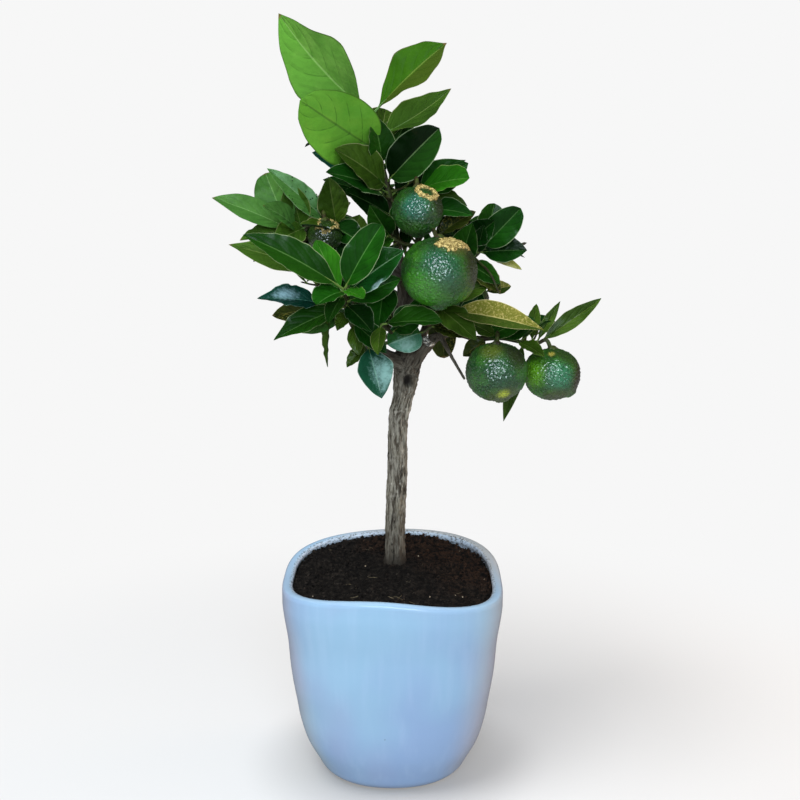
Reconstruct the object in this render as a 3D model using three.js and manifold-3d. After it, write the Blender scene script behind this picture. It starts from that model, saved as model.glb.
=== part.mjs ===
// A young rangpur lime tree in a wavy-rimmed glazed pot.
// Millimetres, +Z up. The origin is the centre of the pot's flat underside.
// The side that faces the viewer is -Y, and +X is to the viewer's right.
import * as THREE from 'three';
import Module from 'manifold-3d';

const wasm = await Module();
wasm.setup();

// General sizes
const CLEARANCE = 0.35;
const DEGREE = Math.PI / 180;
const GOLDEN_TURN = 137.5;
const NEARLY_UPRIGHT = 0.9;

// Pot: a rounded square in plan, wider at the rim than at the foot
const POT_SIDES = 32;
const POT_HALF_WIDTH = 89.5;
const POT_WALL = 6.5;
const POT_FLOOR = 9;
const POT_SQUARENESS = 3.0;
const FOOT_SQUARENESS = 2.2;
const RIM_HEIGHT = 167.5;
const RIM_WAVE = 5;
const RIM_WAVE_TURN = 10;
const RIM_TIP = 3;
const RIM_TIP_FACING = 290;
const RIM_ROUND = 3.2;
const RIM_CROWN = [0.3, 0.7];
const POT_INSIDE_LEVELS = [0.9, 0.7, 0.4, 0.2];
// Share of the half width at each share of the rim height
const POT_PROFILE = [
  [0, 0.56], [0.012, 0.62], [0.04, 0.675], [0.085, 0.717], [0.19, 0.808], [0.3, 0.861],
  [0.405, 0.89], [0.57, 0.933], [0.72, 0.955], [0.83, 0.984], [0.9, 1.0],
];

// Soil: fills the pot and rises a little towards the trunk
const SOIL_TOP = 166.4;
const SOIL_BELOW_RIM = 7.5;
const SOIL_FLAT_RADIUS = 17;
// Mounds: the length of each wave in the plan, its direction and its height
const SOIL_MOUNDS = [[46, 25, 1.0], [34, 100, 0.9], [29, 160, 0.7]];
const SOIL_MOUNDS_FROM = 0.35;
const SOIL_MOUNDS_AT_WALL = 0.5;
const SOIL_RINGS = 4;
const SOIL_GAP = 0.56;

// Trunk: a centre line with a radius at each height
const TRUNK_SIDES = 12;
const TRUNK_FOOT = SOIL_TOP + CLEARANCE;
const TRUNK_LINE = [
  [1.5, 16, TRUNK_FOOT, 13.6], [1.7, 16, 170, 10.6], [1.9, 16, 176, 8.8], [1.7, 15.5, 193, 8.1],
  [2.2, 14.5, 210, 8.1], [2.9, 13, 232, 8.1], [3.9, 12, 260, 7.9], [4.2, 11, 282, 7.8],
  [5.4, 10.2, 297, 7.9], [8.6, 9.6, 311, 8.3], [10.4, 9, 323, 9.7], [12, 8.5, 335, 10.6],
  [14, 8, 345, 12.2], [14.5, 8, 351, 11.4], [14.5, 8, 355, 8.2],
];
const TRUNK_LOBES = 5;
const TRUNK_LOBE_DEPTH = 0.05;
const TRUNK_LOBE_TWIST = 0.4;
// A pruned limb at the fork
const STUB = { line: [[15, 5, 338], [22, 0.5, 349], [28.5, -3.5, 358.5]], radius: 5, steps: 3 };

// Boughs: a few points each, from inside the fork to the tip, with the radius at both ends.
// A shoot is a short bare twig on a bough.
const BOUGH_SIDES = 7;
const BOUGH_STEPS = 6;
const SHOOT = { sides: 4, steps: 4, radius: [2, 1.4] };
const BOUGHS = {
  leader_bough: {
    line: [[13, 9, 340], [11, 11, 368], [8, 13, 400], [4, 12, 432]], radius: [6.6, 3.6],
  },
  left_bough: {
    line: [[10, 7, 338], [-8, -5, 349], [-20, -18, 361], [-30, -31, 377]], radius: [5.4, 3.2],
  },
  right_bough: {
    line: [[24, 3, 351], [34, 0, 361], [49, -7, 366], [65, -13, 362]], radius: [4.2, 2.7],
    shoot: [[38, -3, 362.5], [47, -15, 347], [56, -28, 333]],
  },
  upper_left_bough: {
    line: [[7, 13, 408], [-10, 9, 424], [-30, 8, 437]], radius: [3.6, 2.5],
  },
  upper_right_bough: {
    line: [[10, 12, 380], [28, 9, 404], [47, 5, 417]], radius: [3.6, 2.4],
  },
  back_left_bough: {
    line: [[10, 12, 372], [-6, 30, 390], [-22, 44, 404]], radius: [3.8, 2.5],
  },
  back_right_bough: {
    line: [[17, 11, 344], [26, 30, 362], [36, 45, 384]], radius: [4.2, 2.6],
  },
};

// Foliage: twigs, leaves and fruit
const STEM_SIDES = 4;
const TWIG_SIDES = 3;
const TWIG_RADIUS = [1.7, 1.1];
const STEM_STEPS = 5;
const TWIG_STEPS = 2;
const TWIG_SAG = 0.08;
const LEAF_THICKNESS = 1.15;
const PETIOLE_SHARE = 0.1;
const PETIOLE_HALF_WIDTH = 1.0;
const PETIOLE_EXTRA = 0.4;
const LEAF_PEAK = [0.6, 0.75];
const FLAT_FOLD = 8;
const LIME_SIDES = 9;
const LIME_RINGS = 7;
const LIME_HEIGHT_SHARE = 0.95;
const STALK_RADIUS = 1.5;
const STALK_STEPS = 6;
const STALK_RISE = 4;
const STALK_SHOULDER = 0.4;
const STALK_DEPTH_SHARE = 0.7;
// Grown twigs: where they start, how far they turn and spread in degrees, and their length.
// The first number of each pair is the least, and the second is what a draw adds.
const GROWN_TWIG = { from: [0.2, 0.8], turn: [0, 40], spread: [45, 25], length: [22, 16] };
const GROWN_LEAF = {
  from: [0.3, 0.7], turn: [0, 70], spread: [35, 35], width: [0.42, 0.14], curl: [8, 37],
};
// Placed leaves are those that the photograph shows, and grown ones fill the crown.
// Stations are the rings along a leaf, crossing is how many cubic millimetres of one leaf
// may lie inside another, fill is the share of a mass's space that the tips keep to, and
// fold is how far each half of the blade is raised. A nearly flat blade has no midrib above.
const PLACED = { stations: [0, 0.11, 0.32, 0.6, 0.85], crossing: 14, fill: 1, fold: 14 };
const GROWN = { stations: [0, 0.14, 0.42, 0.76], crossing: 2, fill: 0.78, fold: 5 };

// A twig is [share along the stem, heading, lean, length]. The heading turns in the plane
// that the viewer sees, from +X towards +Z; the lean is towards the viewer.
// A leaf is [twig, share along it, heading, lean, length, width, facing, tilt, curl].
// Twig 0 is the stem. Facing turns the upper side from the viewer towards +X,
// the tilt turns it upwards, and the curl is how far the blade bends along its length.
// A lime is [centre, radius, share along the stem where its stalk starts].
// Space is an ellipsoid, its centre and its half sizes: what would leave it is skipped.
// Grown is [seed, number of twigs, leaves on each twig, shortest leaf, longest leaf].
const MASSES = {
  top_foliage: {
    stem: [[4, 12, 432], [-2, 7, 470], [-10, 1, 505], [-15, -1, 533]],
    space: [[-20, 0, 525], [130, 90, 125]],
    twigs: [[0.3, 25, 5, 24], [0.2, 15, 25, 26]],
    leaves: [
      [0, 0.98, 133, -14, 110, 56, -32, -22, 26], [0, 1, 43, 3, 77, 40, -30, 30, 18],
      [0, 0.8, 32, -18, 72, 32, 10, 58, -26], [0, 0.66, 146, 33, 82, 54, -8, 4, 24],
      [0, 0.4, 142, 40, 65, 34, 0, 30, 26], [0, 0.54, 64, -34, 52, 32, 10, 10, 20],
      [0, 0.44, 46, 24, 63, 34, 15, 24, 24], [0, 0.36, 158, 48, 74, 30, -10, 28, 22],
      [0, 0.48, 162, -6, 60, 26, 0, 28, 18], [0, 0.3, 163, -24, 62, 24, 0, 40, 18],
      [1, 1, 14, 31, 46, 28, 12, 40, 24], [2, 1, 356, 30, 44, 20, 10, 40, 30],
      [1, 0.7, 350, 14, 46, 20, 0, 50, 30], [0, 0.56, 100, 30, 44, 24, 20, 8, 24],
      [0, 0.34, 30, -30, 56, 30, 10, 40, 26], [0, 0.24, 150, -40, 58, 28, -10, 40, 26],
      [0, 0.26, 10, -50, 54, 28, 20, 50, 26], [0, 0.7, 80, -60, 60, 32, 10, 30, 20],
      [0, 0.2, 150, 30, 50, 26, -10, 30, 20], [1, 0.9, 28, 2, 46, 28, 0, 10, 20],
    ],
    limes: [],
    grown: [11, 2, 3, 34, 54],
  },
  upper_left_foliage: {
    stem: [[-30, 8, 437], [-52, 13, 450], [-68, 8, 447], [-80, 3, 445]],
    space: [[-85, -2, 446], [80, 70, 70]],
    twigs: [[0.55, 262, 15, 12]],
    leaves: [
      [0, 0.28, 136, 24, 70, 20, -10, 30, 22], [0, 1, 113, -8, 48, 33, -10, 15, 16],
      [0, 0.96, 157, 10, 66, 24, 0, 38, 22], [0, 0.84, 138, 50, 47, 22, -15, 30, 25],
      [0, 0.74, 102, 20, 36, 24, -5, 10, 15], [0, 0.7, 190, 20, 52, 24, 0, 60, 20],
      [0, 0.62, 215, -20, 48, 22, -10, 60, 20], [0, 0.2, 98, 14, 42, 26, 0, 24, 20],
      [0, 0.16, 258, 10, 44, 26, 10, 30, 20],
    ],
    limes: [[[-52, -7, 442], 13.2, 0.4]],
    grown: [23, 2, 3, 32, 46],
  },
  left_front_foliage: {
    stem: [[-30, -31, 377], [-34, -42, 389], [-36, -54, 400], [-35, -64, 407]],
    space: [[-62, -50, 392], [100, 72, 90]],
    twigs: [[0.66, 128, -5, 24], [0.45, 180, -20, 16]],
    leaves: [
      [0, 1, 150, 10, 84, 29, -5, 42, 26], [1, 1, 164, -1, 73, 23, 0, 26, 18],
      [0, 0.96, 60, 8, 57, 28, -15, 20, 25], [0, 0.92, 198, 55, 34, 24, -15, 40, 30],
      [0, 0.97, 349, 58, 29, 14, 10, 52, 20], [1, 0.6, 147, -13, 28, 16, 0, 30, 15],
      [0, 0.72, 37, 7, 57, 34, 5, 42, 20], [0, 0.5, 23, -10, 46, 24, 5, 30, 20],
      [2, 1, 172, 22, 54, 24, 0, 48, 24], [2, 0.5, 191, -20, 54, 20, 0, 20, 20],
      [0, 0.42, 204, 12, 60, 24, -10, 46, 24], [0, 0.25, 200, -2, 42, 22, -5, 30, 22],
      [0, 0.3, 240, 46, 21, 12, 0, 20, 20], [2, 0.75, 267, 6, 47, 12, -60, 10, 14],
      [0, 0.48, 320, 40, 36, 22, 10, 40, 24], [0, 0.8, 120, -30, 50, 24, -20, 30, 20],
    ],
    limes: [],
    grown: [37, 2, 3, 30, 44],
  },
  low_front_foliage: {
    stem: [[11, 2, 348], [6, -18, 360], [-2, -36, 372], [-8, -50, 379]],
    space: [[4, -42, 362], [66, 60, 62]],
    twigs: [[0.42, 187, 6, 24], [0.38, 24, 0, 28]],
    leaves: [
      [0, 1, 5, 18, 48, 30, 5, 64, 20], [2, 0.75, 195, 30, 33, 27, 0, 20, 16],
      [1, 0.98, 286, 25, 45, 29, 10, 18, 14], [1, 1, 229, 12, 24, 12, -20, 20, 20],
      [2, 1, 347, 37, 32, 16, 10, 40, 22], [0, 0.6, 40, 20, 36, 24, 10, 30, 20],
    ],
    limes: [],
    grown: [41, 0, 2, 28, 38],
  },
  middle_foliage: {
    stem: [[8, 13, 398], [13, -4, 416], [19, -12, 440], [17, -10, 478]],
    space: [[28, -30, 430], [125, 85, 90]],
    twigs: [[0.24, 318, 32, 44], [0.62, 24, 2, 24], [0.6, 158, 18, 24], [0.2, 180, 22, 26]],
    leaves: [
      [1, 1, 353, 28, 84, 25, 8, 40, 26], [1, 0.78, 324, 42, 50, 24, 10, 30, 22],
      [3, 1, 236, 58, 40, 24, -20, 20, 20], [3, 0.9, 121, 43, 42, 22, -20, 25, 20],
      [2, 0.7, 32, -6, 36, 18, 0, 45, 26], [4, 1, 210, 30, 42, 26, 0, 40, 22],
      [4, 0.7, 262, 40, 44, 26, 0, 20, 24], [1, 0.8, 20, -10, 46, 22, 20, 50, 24],
    ],
    limes: [[[35, -52, 419], 28.2, 0.6], [[19, -34, 463], 19.2, 0.98]],
    grown: [53, 2, 3, 32, 46],
  },
  right_foliage: {
    stem: [[65, -13, 362], [84, -20, 364], [99, -27, 362], [112, -28, 361]],
    space: [[108, -26, 350], [88, 64, 88]],
    twigs: [[0.75, 35, -85, 22]],
    leaves: [
      [0, 1, 35, -6, 60, 15, 0, 28, -12], [0, 0.97, 59, -15, 38, 9, -10, 25, 12],
      [0, 0.88, 80, -34, 34, 11, -15, 5, 14], [0, 0.28, 28, 11, 33, 22, 0, 30, 24],
      [0, 0.6, 340, 60, 38, 13, 10, 30, 20], [1, 1, 257, 2, 70, 15, 0, 10, 8],
      [0, 0.16, 216, 4, 24, 15, 0, 25, 20], [0, 0.2, 20, -60, 46, 22, 20, 40, 22],
    ],
    limes: [[[79, -45, 343], 23.2, 0.3], [[123, -31, 338], 21.7, 1]],
    grown: [68, 1, 2, 30, 40],
  },
  upper_right_foliage: {
    stem: [[47, 5, 417], [58, 4, 421], [67, 3, 427], [73, 5, 436]],
    space: [[72, 5, 420], [66, 62, 62]],
    twigs: [[0.35, 82, 0, 14], [0.5, 290, -10, 30]],
    leaves: [
      [0, 0.8, 48, 14, 45, 26, 10, 20, 20], [0, 0.95, 77, -2, 32, 24, 10, 10, 16],
      [1, 1, 46, 34, 32, 22, -10, 12, 18], [0, 0.65, 81, 33, 29, 14, -15, 10, 16],
      [1, 0.8, 116, 5, 22, 12, -20, 10, 14], [0, 1, 77, -22, 30, 20, 10, 12, 14],
      [0, 0.72, 338, 10, 36, 10, 10, 40, 16], [0, 0.98, 56, -44, 35, 24, 10, 10, 14],
      [2, 1, 11, -10, 22, 14, 0, 40, 22], [2, 0.8, 250, 10, 40, 20, 0, 40, 22],
      [0, 0.3, 320, 30, 40, 22, 10, 50, 22], [0, 0.2, 60, -40, 44, 24, 10, 40, 22],
      [0, 0.7, 4, 14, 38, 26, 10, 30, 20],
    ],
    limes: [],
    grown: [72, 2, 3, 30, 42],
  },
  back_left_foliage: {
    stem: [[-22, 44, 404], [-34, 54, 412], [-46, 62, 420], [-56, 66, 430]],
    space: [[-44, 66, 418], [76, 76, 66]],
    twigs: [],
    leaves: [],
    limes: [[[-24, 80, 394], 19, 0.35]],
    grown: [83, 6, 7, 36, 60],
  },
  back_right_foliage: {
    stem: [[36, 45, 384], [42, 56, 396], [46, 64, 410], [48, 66, 424]],
    space: [[48, 64, 396], [66, 76, 72]],
    twigs: [],
    leaves: [[0, 0.12, 275, -5, 54, 25, 0, 5, 14]],
    limes: [[[60, 84, 378], 22, 0.3]],
    grown: [97, 6, 7, 36, 60],
  },
  back_top_foliage: {
    stem: [[6, 13, 424], [2, 30, 440], [-2, 42, 458], [-4, 48, 474]],
    space: [[-2, 50, 462], [72, 76, 60]],
    twigs: [],
    leaves: [],
    limes: [],
    grown: [101, 5, 9, 36, 58],
  },
  back_low_foliage: {
    stem: [[12, 12, 350], [4, 28, 360], [-8, 40, 366], [-18, 48, 368]],
    space: [[-8, 52, 374], [70, 68, 46]],
    twigs: [],
    leaves: [],
    limes: [],
    grown: [113, 5, 8, 32, 50],
  },
};

// Colours
const FINISH = {
  glaze: { color: 0x9bbfe5, roughness: 0.28, metalness: 0 },
  soil: { color: 0x2a201b, roughness: 1, metalness: 0 },
  bark: { color: 0x6f6357, roughness: 0.9, metalness: 0 },
  leaf: { color: 0x2c6b2a, roughness: 0.45, metalness: 0 },
};

const vector = (point) => new THREE.Vector3(point[0], point[1], point[2]);

const DRAW_FACTOR = 16807;
const DRAW_RANGE = 2147483647;

// A seeded draw between 0 and 1: the same seed always gives the same tree
function makeDraw(seed) {
  let state = seed;
  return () => {
    state = (state * DRAW_FACTOR) % DRAW_RANGE;
    return state / DRAW_RANGE;
  };
}

// The part of a vector that is square to a direction, as a unit vector
function squareTo(wanted, direction) {
  return wanted.clone().addScaledVector(direction, -wanted.dot(direction)).normalize();
}

// A direction that is well away from the given one
function acrossFrom(direction) {
  return vector(Math.abs(direction.z) < NEARLY_UPRIGHT ? [0, 0, 1] : [1, 0, 0]);
}

// A direction from a heading in the viewer's plane and a lean towards the viewer
function aim(heading, lean) {
  const flat = Math.cos(lean * DEGREE);
  return new THREE.Vector3(
    Math.cos(heading * DEGREE) * flat, -Math.sin(lean * DEGREE), Math.sin(heading * DEGREE) * flat,
  );
}

// A smooth curve through a few points, by share of the way from first to last
function along(points, share) {
  const last = points.length - 1;
  const place = Math.min(Math.max(share, 0), 1) * last;
  const start = Math.min(Math.floor(place), last - 1);
  const t = place - start;
  const b = points[start];
  const c = points[start + 1];
  const a = start > 0 ? points[start - 1] : b.clone().multiplyScalar(2).sub(c);
  const d = start + 2 <= last ? points[start + 2] : c.clone().multiplyScalar(2).sub(b);
  const slopeB = c.clone().sub(a).multiplyScalar(0.5);
  const slopeC = d.clone().sub(b).multiplyScalar(0.5);
  return new THREE.Vector3()
    .addScaledVector(b, 2 * t ** 3 - 3 * t ** 2 + 1)
    .addScaledVector(slopeB, t ** 3 - 2 * t ** 2 + t)
    .addScaledVector(c, -2 * t ** 3 + 3 * t ** 2)
    .addScaledVector(slopeC, t ** 3 - t ** 2);
}

// The direction of that curve at a share of the way
function directionAlong(points, share) {
  const step = 0.01;
  return along(points, Math.min(share + step, 1))
    .sub(along(points, Math.max(share - step, 0))).normalize();
}

// A closed solid through a row of rings. A ring of one point is a pole;
// any other end ring gets a flat cap.
function loft(rings) {
  const corners = [];
  const triangles = [];
  const firsts = rings.map((ring) => {
    const first = corners.length / 3;
    ring.forEach((point) => corners.push(point.x, point.y, point.z));
    return first;
  });
  for (let i = 0; i + 1 < rings.length; i += 1) {
    joinRings(triangles, firsts[i], rings[i].length, firsts[i + 1], rings[i + 1].length);
  }
  capRing(triangles, firsts[0], rings[0].length, false);
  capRing(triangles, firsts.at(-1), rings.at(-1).length, true);
  return solidFrom(corners, triangles);
}

function joinRings(triangles, a, countA, b, countB) {
  const count = Math.max(countA, countB);
  for (let i = 0; i < count; i += 1) {
    const j = (i + 1) % count;
    if (countA > 1) triangles.push(a + i, a + j, countB > 1 ? b + j : b);
    if (countB > 1) triangles.push(countA > 1 ? a + i : a, b + j, b + i);
  }
}

function capRing(triangles, first, count, atEnd) {
  for (let i = 1; i + 1 < count; i += 1) {
    if (atEnd) triangles.push(first, first + i, first + i + 1);
    else triangles.push(first, first + i + 1, first + i);
  }
}

// Turns corners and triangles into a solid, with its faces pointing out
function solidFrom(corners, triangles) {
  let volume = 0;
  for (let i = 0; i < triangles.length; i += 3) {
    const [a, b, c] = [0, 1, 2].map((k) => {
      const at = triangles[i + k] * 3;
      return new THREE.Vector3(corners[at], corners[at + 1], corners[at + 2]);
    });
    volume += a.dot(b.cross(c));
  }
  if (volume < 0) triangles.reverse();
  return new wasm.Manifold(new wasm.Mesh({
    numProp: 3, vertProperties: new Float32Array(corners), triVerts: new Uint32Array(triangles),
  }));
}

// Round rings along a curve; the section is carried along without twisting
function tubeRings(points, steps, sides, radiusAt) {
  const rings = [];
  let side = null;
  for (let i = 0; i <= steps; i += 1) {
    const share = i / steps;
    const direction = directionAlong(points, share);
    side = squareTo(side ?? acrossFrom(direction), direction);
    const other = direction.clone().cross(side);
    const centre = along(points, share);
    rings.push(Array.from({ length: sides }, (_, k) => {
      const turn = (2 * Math.PI * k) / sides;
      const radius = radiusAt(share, turn);
      return centre.clone()
        .addScaledVector(side, radius * Math.cos(turn))
        .addScaledVector(other, radius * Math.sin(turn));
    }));
  }
  return rings;
}

function mix(a, b, share) {
  return a + (b - a) * share;
}

// Height of the pot's rim round the plan: two waves and a slight tip
function rimHeight(turn) {
  return RIM_HEIGHT - RIM_WAVE * Math.cos(2 * (turn + RIM_WAVE_TURN * DEGREE))
    - RIM_TIP * Math.cos(turn - RIM_TIP_FACING * DEGREE);
}

// Distance from the axis to a rounded square, round the plan
function roundedSquare(halfWidth, squareness, turn) {
  const sum = Math.abs(Math.cos(turn)) ** squareness + Math.abs(Math.sin(turn)) ** squareness;
  return halfWidth / sum ** (1 / squareness);
}

function potRing(heightShare, halfWidth, drop) {
  const squareness = mix(FOOT_SQUARENESS, POT_SQUARENESS, Math.min(1, heightShare * 2));
  return Array.from({ length: POT_SIDES }, (_, k) => {
    const turn = (2 * Math.PI * k) / POT_SIDES;
    const radius = roundedSquare(halfWidth, squareness, turn);
    const z = heightShare * mix(RIM_HEIGHT, rimHeight(turn), heightShare ** 2) - drop;
    return new THREE.Vector3(radius * Math.cos(turn), radius * Math.sin(turn), z);
  });
}

// Half width of the pot's outside at a share of the rim height
function potHalfWidth(heightShare) {
  const next = POT_PROFILE.findIndex(([height]) => height >= heightShare);
  if (next < 0) return POT_HALF_WIDTH;
  if (next === 0) return POT_PROFILE[0][1] * POT_HALF_WIDTH;
  const [lowHeight, low] = POT_PROFILE[next - 1];
  const [highHeight, high] = POT_PROFILE[next];
  return POT_HALF_WIDTH * mix(low, high, (heightShare - lowHeight) / (highHeight - lowHeight));
}

function innerHalfWidth(heightShare) {
  return potHalfWidth(heightShare) - POT_WALL;
}

function potSolid() {
  const outside = POT_PROFILE
    .map(([height, width]) => potRing(height, width * POT_HALF_WIDTH, 0));
  const crown = RIM_CROWN.map((share) => [0, POT_WALL * share]);
  const rim = [[RIM_ROUND, 0], ...crown, [RIM_ROUND, POT_WALL]];
  const lip = rim.map(([drop, inset]) => potRing(1, POT_HALF_WIDTH - inset, drop));
  const floorShare = POT_FLOOR / RIM_HEIGHT;
  const inside = [...POT_INSIDE_LEVELS, floorShare]
    .map((height) => potRing(height, innerHalfWidth(height), 0));
  return loft([
    [new THREE.Vector3(0, 0, 0)], ...outside, ...lip, ...inside,
    [new THREE.Vector3(0, 0, POT_FLOOR)],
  ]);
}

// Height of the soil's mounds at a place in the plan: three crossing waves
function soilMounds(x, y) {
  return SOIL_MOUNDS.reduce((sum, [length, heading, height]) => {
    const way = x * Math.cos(heading * DEGREE) + y * Math.sin(heading * DEGREE);
    return sum + height * Math.sin((2 * Math.PI * way) / length);
  }, 0);
}

// Soil height: flat under the trunk, lower at the wall, mounded between
function soilHeight(share, turn, x, y) {
  const edge = rimHeight(turn) - SOIL_BELOW_RIM;
  const fade = Math.min(share / SOIL_MOUNDS_FROM, 1) * mix(1, SOIL_MOUNDS_AT_WALL, share ** 4);
  return mix(SOIL_TOP, edge, share ** 2) + soilMounds(x, y) * fade;
}

function soilSolid() {
  const [footX, footY] = TRUNK_LINE[0];
  const bottom = (POT_FLOOR + CLEARANCE) / RIM_HEIGHT;
  const sides = [bottom, ...POT_INSIDE_LEVELS.toReversed()]
    .map((height) => potRing(height, innerHalfWidth(height) - SOIL_GAP, 0));
  sides[0].forEach((point) => point.setZ(POT_FLOOR + CLEARANCE));
  const top = [];
  for (let ring = SOIL_RINGS; ring >= 0; ring -= 1) {
    const share = ring / SOIL_RINGS;
    top.push(Array.from({ length: POT_SIDES }, (_, k) => {
      const turn = (2 * Math.PI * k) / POT_SIDES;
      const reach = roundedSquare(POT_HALF_WIDTH - POT_WALL - SOIL_GAP, POT_SQUARENESS, turn);
      const x = mix(footX + SOIL_FLAT_RADIUS * Math.cos(turn), reach * Math.cos(turn), share);
      const y = mix(footY + SOIL_FLAT_RADIUS * Math.sin(turn), reach * Math.sin(turn), share);
      return new THREE.Vector3(x, y, soilHeight(share, turn, x, y));
    }));
  }
  return loft([
    [new THREE.Vector3(0, 0, POT_FLOOR + CLEARANCE)], ...sides, ...top,
    [new THREE.Vector3(footX, footY, SOIL_TOP)],
  ]);
}

// Trunk: level rings on the centre line, slightly lobed like old wood
function trunkSolid(grow) {
  const rings = TRUNK_LINE.map(([x, y, z, radius], level) => (
    Array.from({ length: TRUNK_SIDES }, (_, k) => {
      const turn = (2 * Math.PI * k) / TRUNK_SIDES;
      const lobe = 1 + TRUNK_LOBE_DEPTH * Math.sin(TRUNK_LOBES * turn + level * TRUNK_LOBE_TWIST);
      const reach = radius * lobe + grow;
      const lift = level === TRUNK_LINE.length - 1 ? grow : 0;
      return new THREE.Vector3(x + reach * Math.cos(turn), y + reach * Math.sin(turn), z + lift);
    })
  ));
  const stub = tubeRings(STUB.line.map(vector), STUB.steps, BOUGH_SIDES,
    () => STUB.radius + grow);
  return loft(rings).add(loft(stub));
}

function boughSolid({ line, radius, shoot }, grow) {
  const radiusAt = (share) => mix(...radius, share) + grow;
  const bough = loft(tubeRings(line.map(vector), BOUGH_STEPS, BOUGH_SIDES, radiusAt));
  if (!shoot) return bough;
  const thin = (share) => mix(...SHOOT.radius, share) + grow;
  return bough.add(loft(tubeRings(shoot.map(vector), SHOOT.steps, SHOOT.sides, thin)));
}

// Cuts a solid back from everything it would meet, and keeps its largest piece
function cutClear(solid, others) {
  const cut = others.reduce((rest, other) => rest.subtract(other), solid);
  const pieces = cut.decompose();
  return pieces.sort((a, b) => b.volume() - a.volume())[0];
}

function tubeSolid(points, steps, sides, grow) {
  return loft(tubeRings(points, steps, sides, (share) => mix(...TWIG_RADIUS, share) + grow));
}

// A side twig: it leaves the stem at a share of its length and bends a little upwards
function sideTwig(stem, [share, heading, lean, length]) {
  const start = along(stem, share);
  const direction = aim(heading, lean);
  const rise = new THREE.Vector3(0, 0, length * TWIG_SAG);
  const middle = start.clone().addScaledVector(direction, length * 0.5).sub(rise);
  return [start, middle, start.clone().addScaledVector(direction, length)];
}

// Half width of a blade at a share of its length, as a share of the widest
function bladeWidth(share) {
  const u = (share - PETIOLE_SHARE) / (1 - PETIOLE_SHARE);
  if (u <= 0) return 0;
  const [rise, fall] = LEAF_PEAK;
  const peak = rise / (rise + fall);
  return (u ** rise * (1 - u) ** fall) / (peak ** rise * (1 - peak) ** fall);
}

// One leaf: a folded blade that bends evenly from its root to its tip
function leafSolid(leaf, { stations, fold }, grow) {
  const { root, chord, upper, length, width, curl } = leaf;
  const bend = Math.abs(curl) < 1 ? DEGREE : curl * DEGREE;
  const arc = length * (bend / 2) / Math.sin(bend / 2);
  const start = chord.clone().multiplyScalar(Math.cos(bend / 2))
    .addScaledVector(upper, Math.sin(bend / 2));
  const lift = upper.clone().multiplyScalar(Math.cos(bend / 2))
    .addScaledVector(chord, -Math.sin(bend / 2));
  const side = chord.clone().cross(upper);
  const folded = fold > FLAT_FOLD;
  const at = (share) => root.clone()
    .addScaledVector(start, (arc * Math.sin(bend * share)) / bend)
    .addScaledVector(lift, (-arc * (1 - Math.cos(bend * share))) / bend);
  const rings = stations.map((share) => {
    const centre = at(share);
    const out = lift.clone().multiplyScalar(Math.cos(bend * share))
      .addScaledVector(start, Math.sin(bend * share));
    const half = Math.max((bladeWidth(share) * width) / 2, PETIOLE_HALF_WIDTH) + grow;
    const thick = LEAF_THICKNESS / 2 + (share <= PETIOLE_SHARE ? PETIOLE_EXTRA : 0) + grow;
    const raise = half * Math.sin(fold * DEGREE);
    const reach = half * Math.cos(fold * DEGREE);
    const ring = [
      centre.clone().addScaledVector(side, reach).addScaledVector(out, raise),
      centre.clone().addScaledVector(out, -thick),
      centre.clone().addScaledVector(side, -reach).addScaledVector(out, raise),
    ];
    if (folded) ring.push(centre.clone().addScaledVector(out, thick));
    return ring;
  });
  return loft([...rings, [at(1)]]);
}

function lookingTo(facing, tilt) {
  const flat = Math.cos(tilt * DEGREE);
  return new THREE.Vector3(
    Math.sin(facing * DEGREE) * flat, -Math.cos(facing * DEGREE) * flat, Math.sin(tilt * DEGREE),
  );
}

// A leaf that the photograph places by hand
function placedLeaf(twigs, [twig, share, heading, lean, length, width, facing, tilt, curl]) {
  const chord = aim(heading, lean);
  const upper = squareTo(lookingTo(facing, tilt), chord);
  return { root: along(twigs[twig], share), chord, upper, length, width, curl };
}

// A direction that leaves an axis at an angle, turned round it
function spreadFrom(axis, turn, angle) {
  const side = squareTo(acrossFrom(axis), axis);
  const other = axis.clone().cross(side);
  return axis.clone().multiplyScalar(Math.cos(angle * DEGREE))
    .addScaledVector(side, Math.sin(angle * DEGREE) * Math.cos(turn * DEGREE))
    .addScaledVector(other, Math.sin(angle * DEGREE) * Math.sin(turn * DEGREE));
}

// The least of a pair, and a share of what may be added to it
function within([least, added], share) {
  return least + added * share;
}

// Twigs grown round the stem by the golden turn
function grownTwigs(stem, count, draw) {
  return Array.from({ length: count }, (_, k) => {
    const share = within(GROWN_TWIG.from, (k + 0.5) / count);
    const turn = k * GOLDEN_TURN + within(GROWN_TWIG.turn, draw());
    const spread = within(GROWN_TWIG.spread, draw());
    const length = within(GROWN_TWIG.length, draw());
    const direction = spreadFrom(directionAlong(stem, share), turn, spread);
    const start = along(stem, share);
    const end = start.clone().addScaledVector(direction, length);
    const middle = start.clone().lerp(end, 0.5).sub(new THREE.Vector3(0, 0, length * TWIG_SAG));
    return [start, middle, end];
  });
}

// Leaves grown round one twig, each drawn in full before anything is skipped
function grownLeaves(twig, count, shortest, longest, draw) {
  return Array.from({ length: count }, (_, k) => {
    const share = within(GROWN_LEAF.from, (k + 1) / count);
    const turn = k * GOLDEN_TURN + within(GROWN_LEAF.turn, draw());
    const chord = spreadFrom(directionAlong(twig, share), turn, within(GROWN_LEAF.spread, draw()));
    const up = new THREE.Vector3(draw() - 0.5, draw() - 0.5, 1);
    const length = mix(shortest, longest, draw());
    const width = length * within(GROWN_LEAF.width, draw());
    const curl = within(GROWN_LEAF.curl, draw());
    const upper = squareTo(up, chord);
    return { root: along(twig, share), chord, upper, length, width, curl };
  });
}

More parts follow.
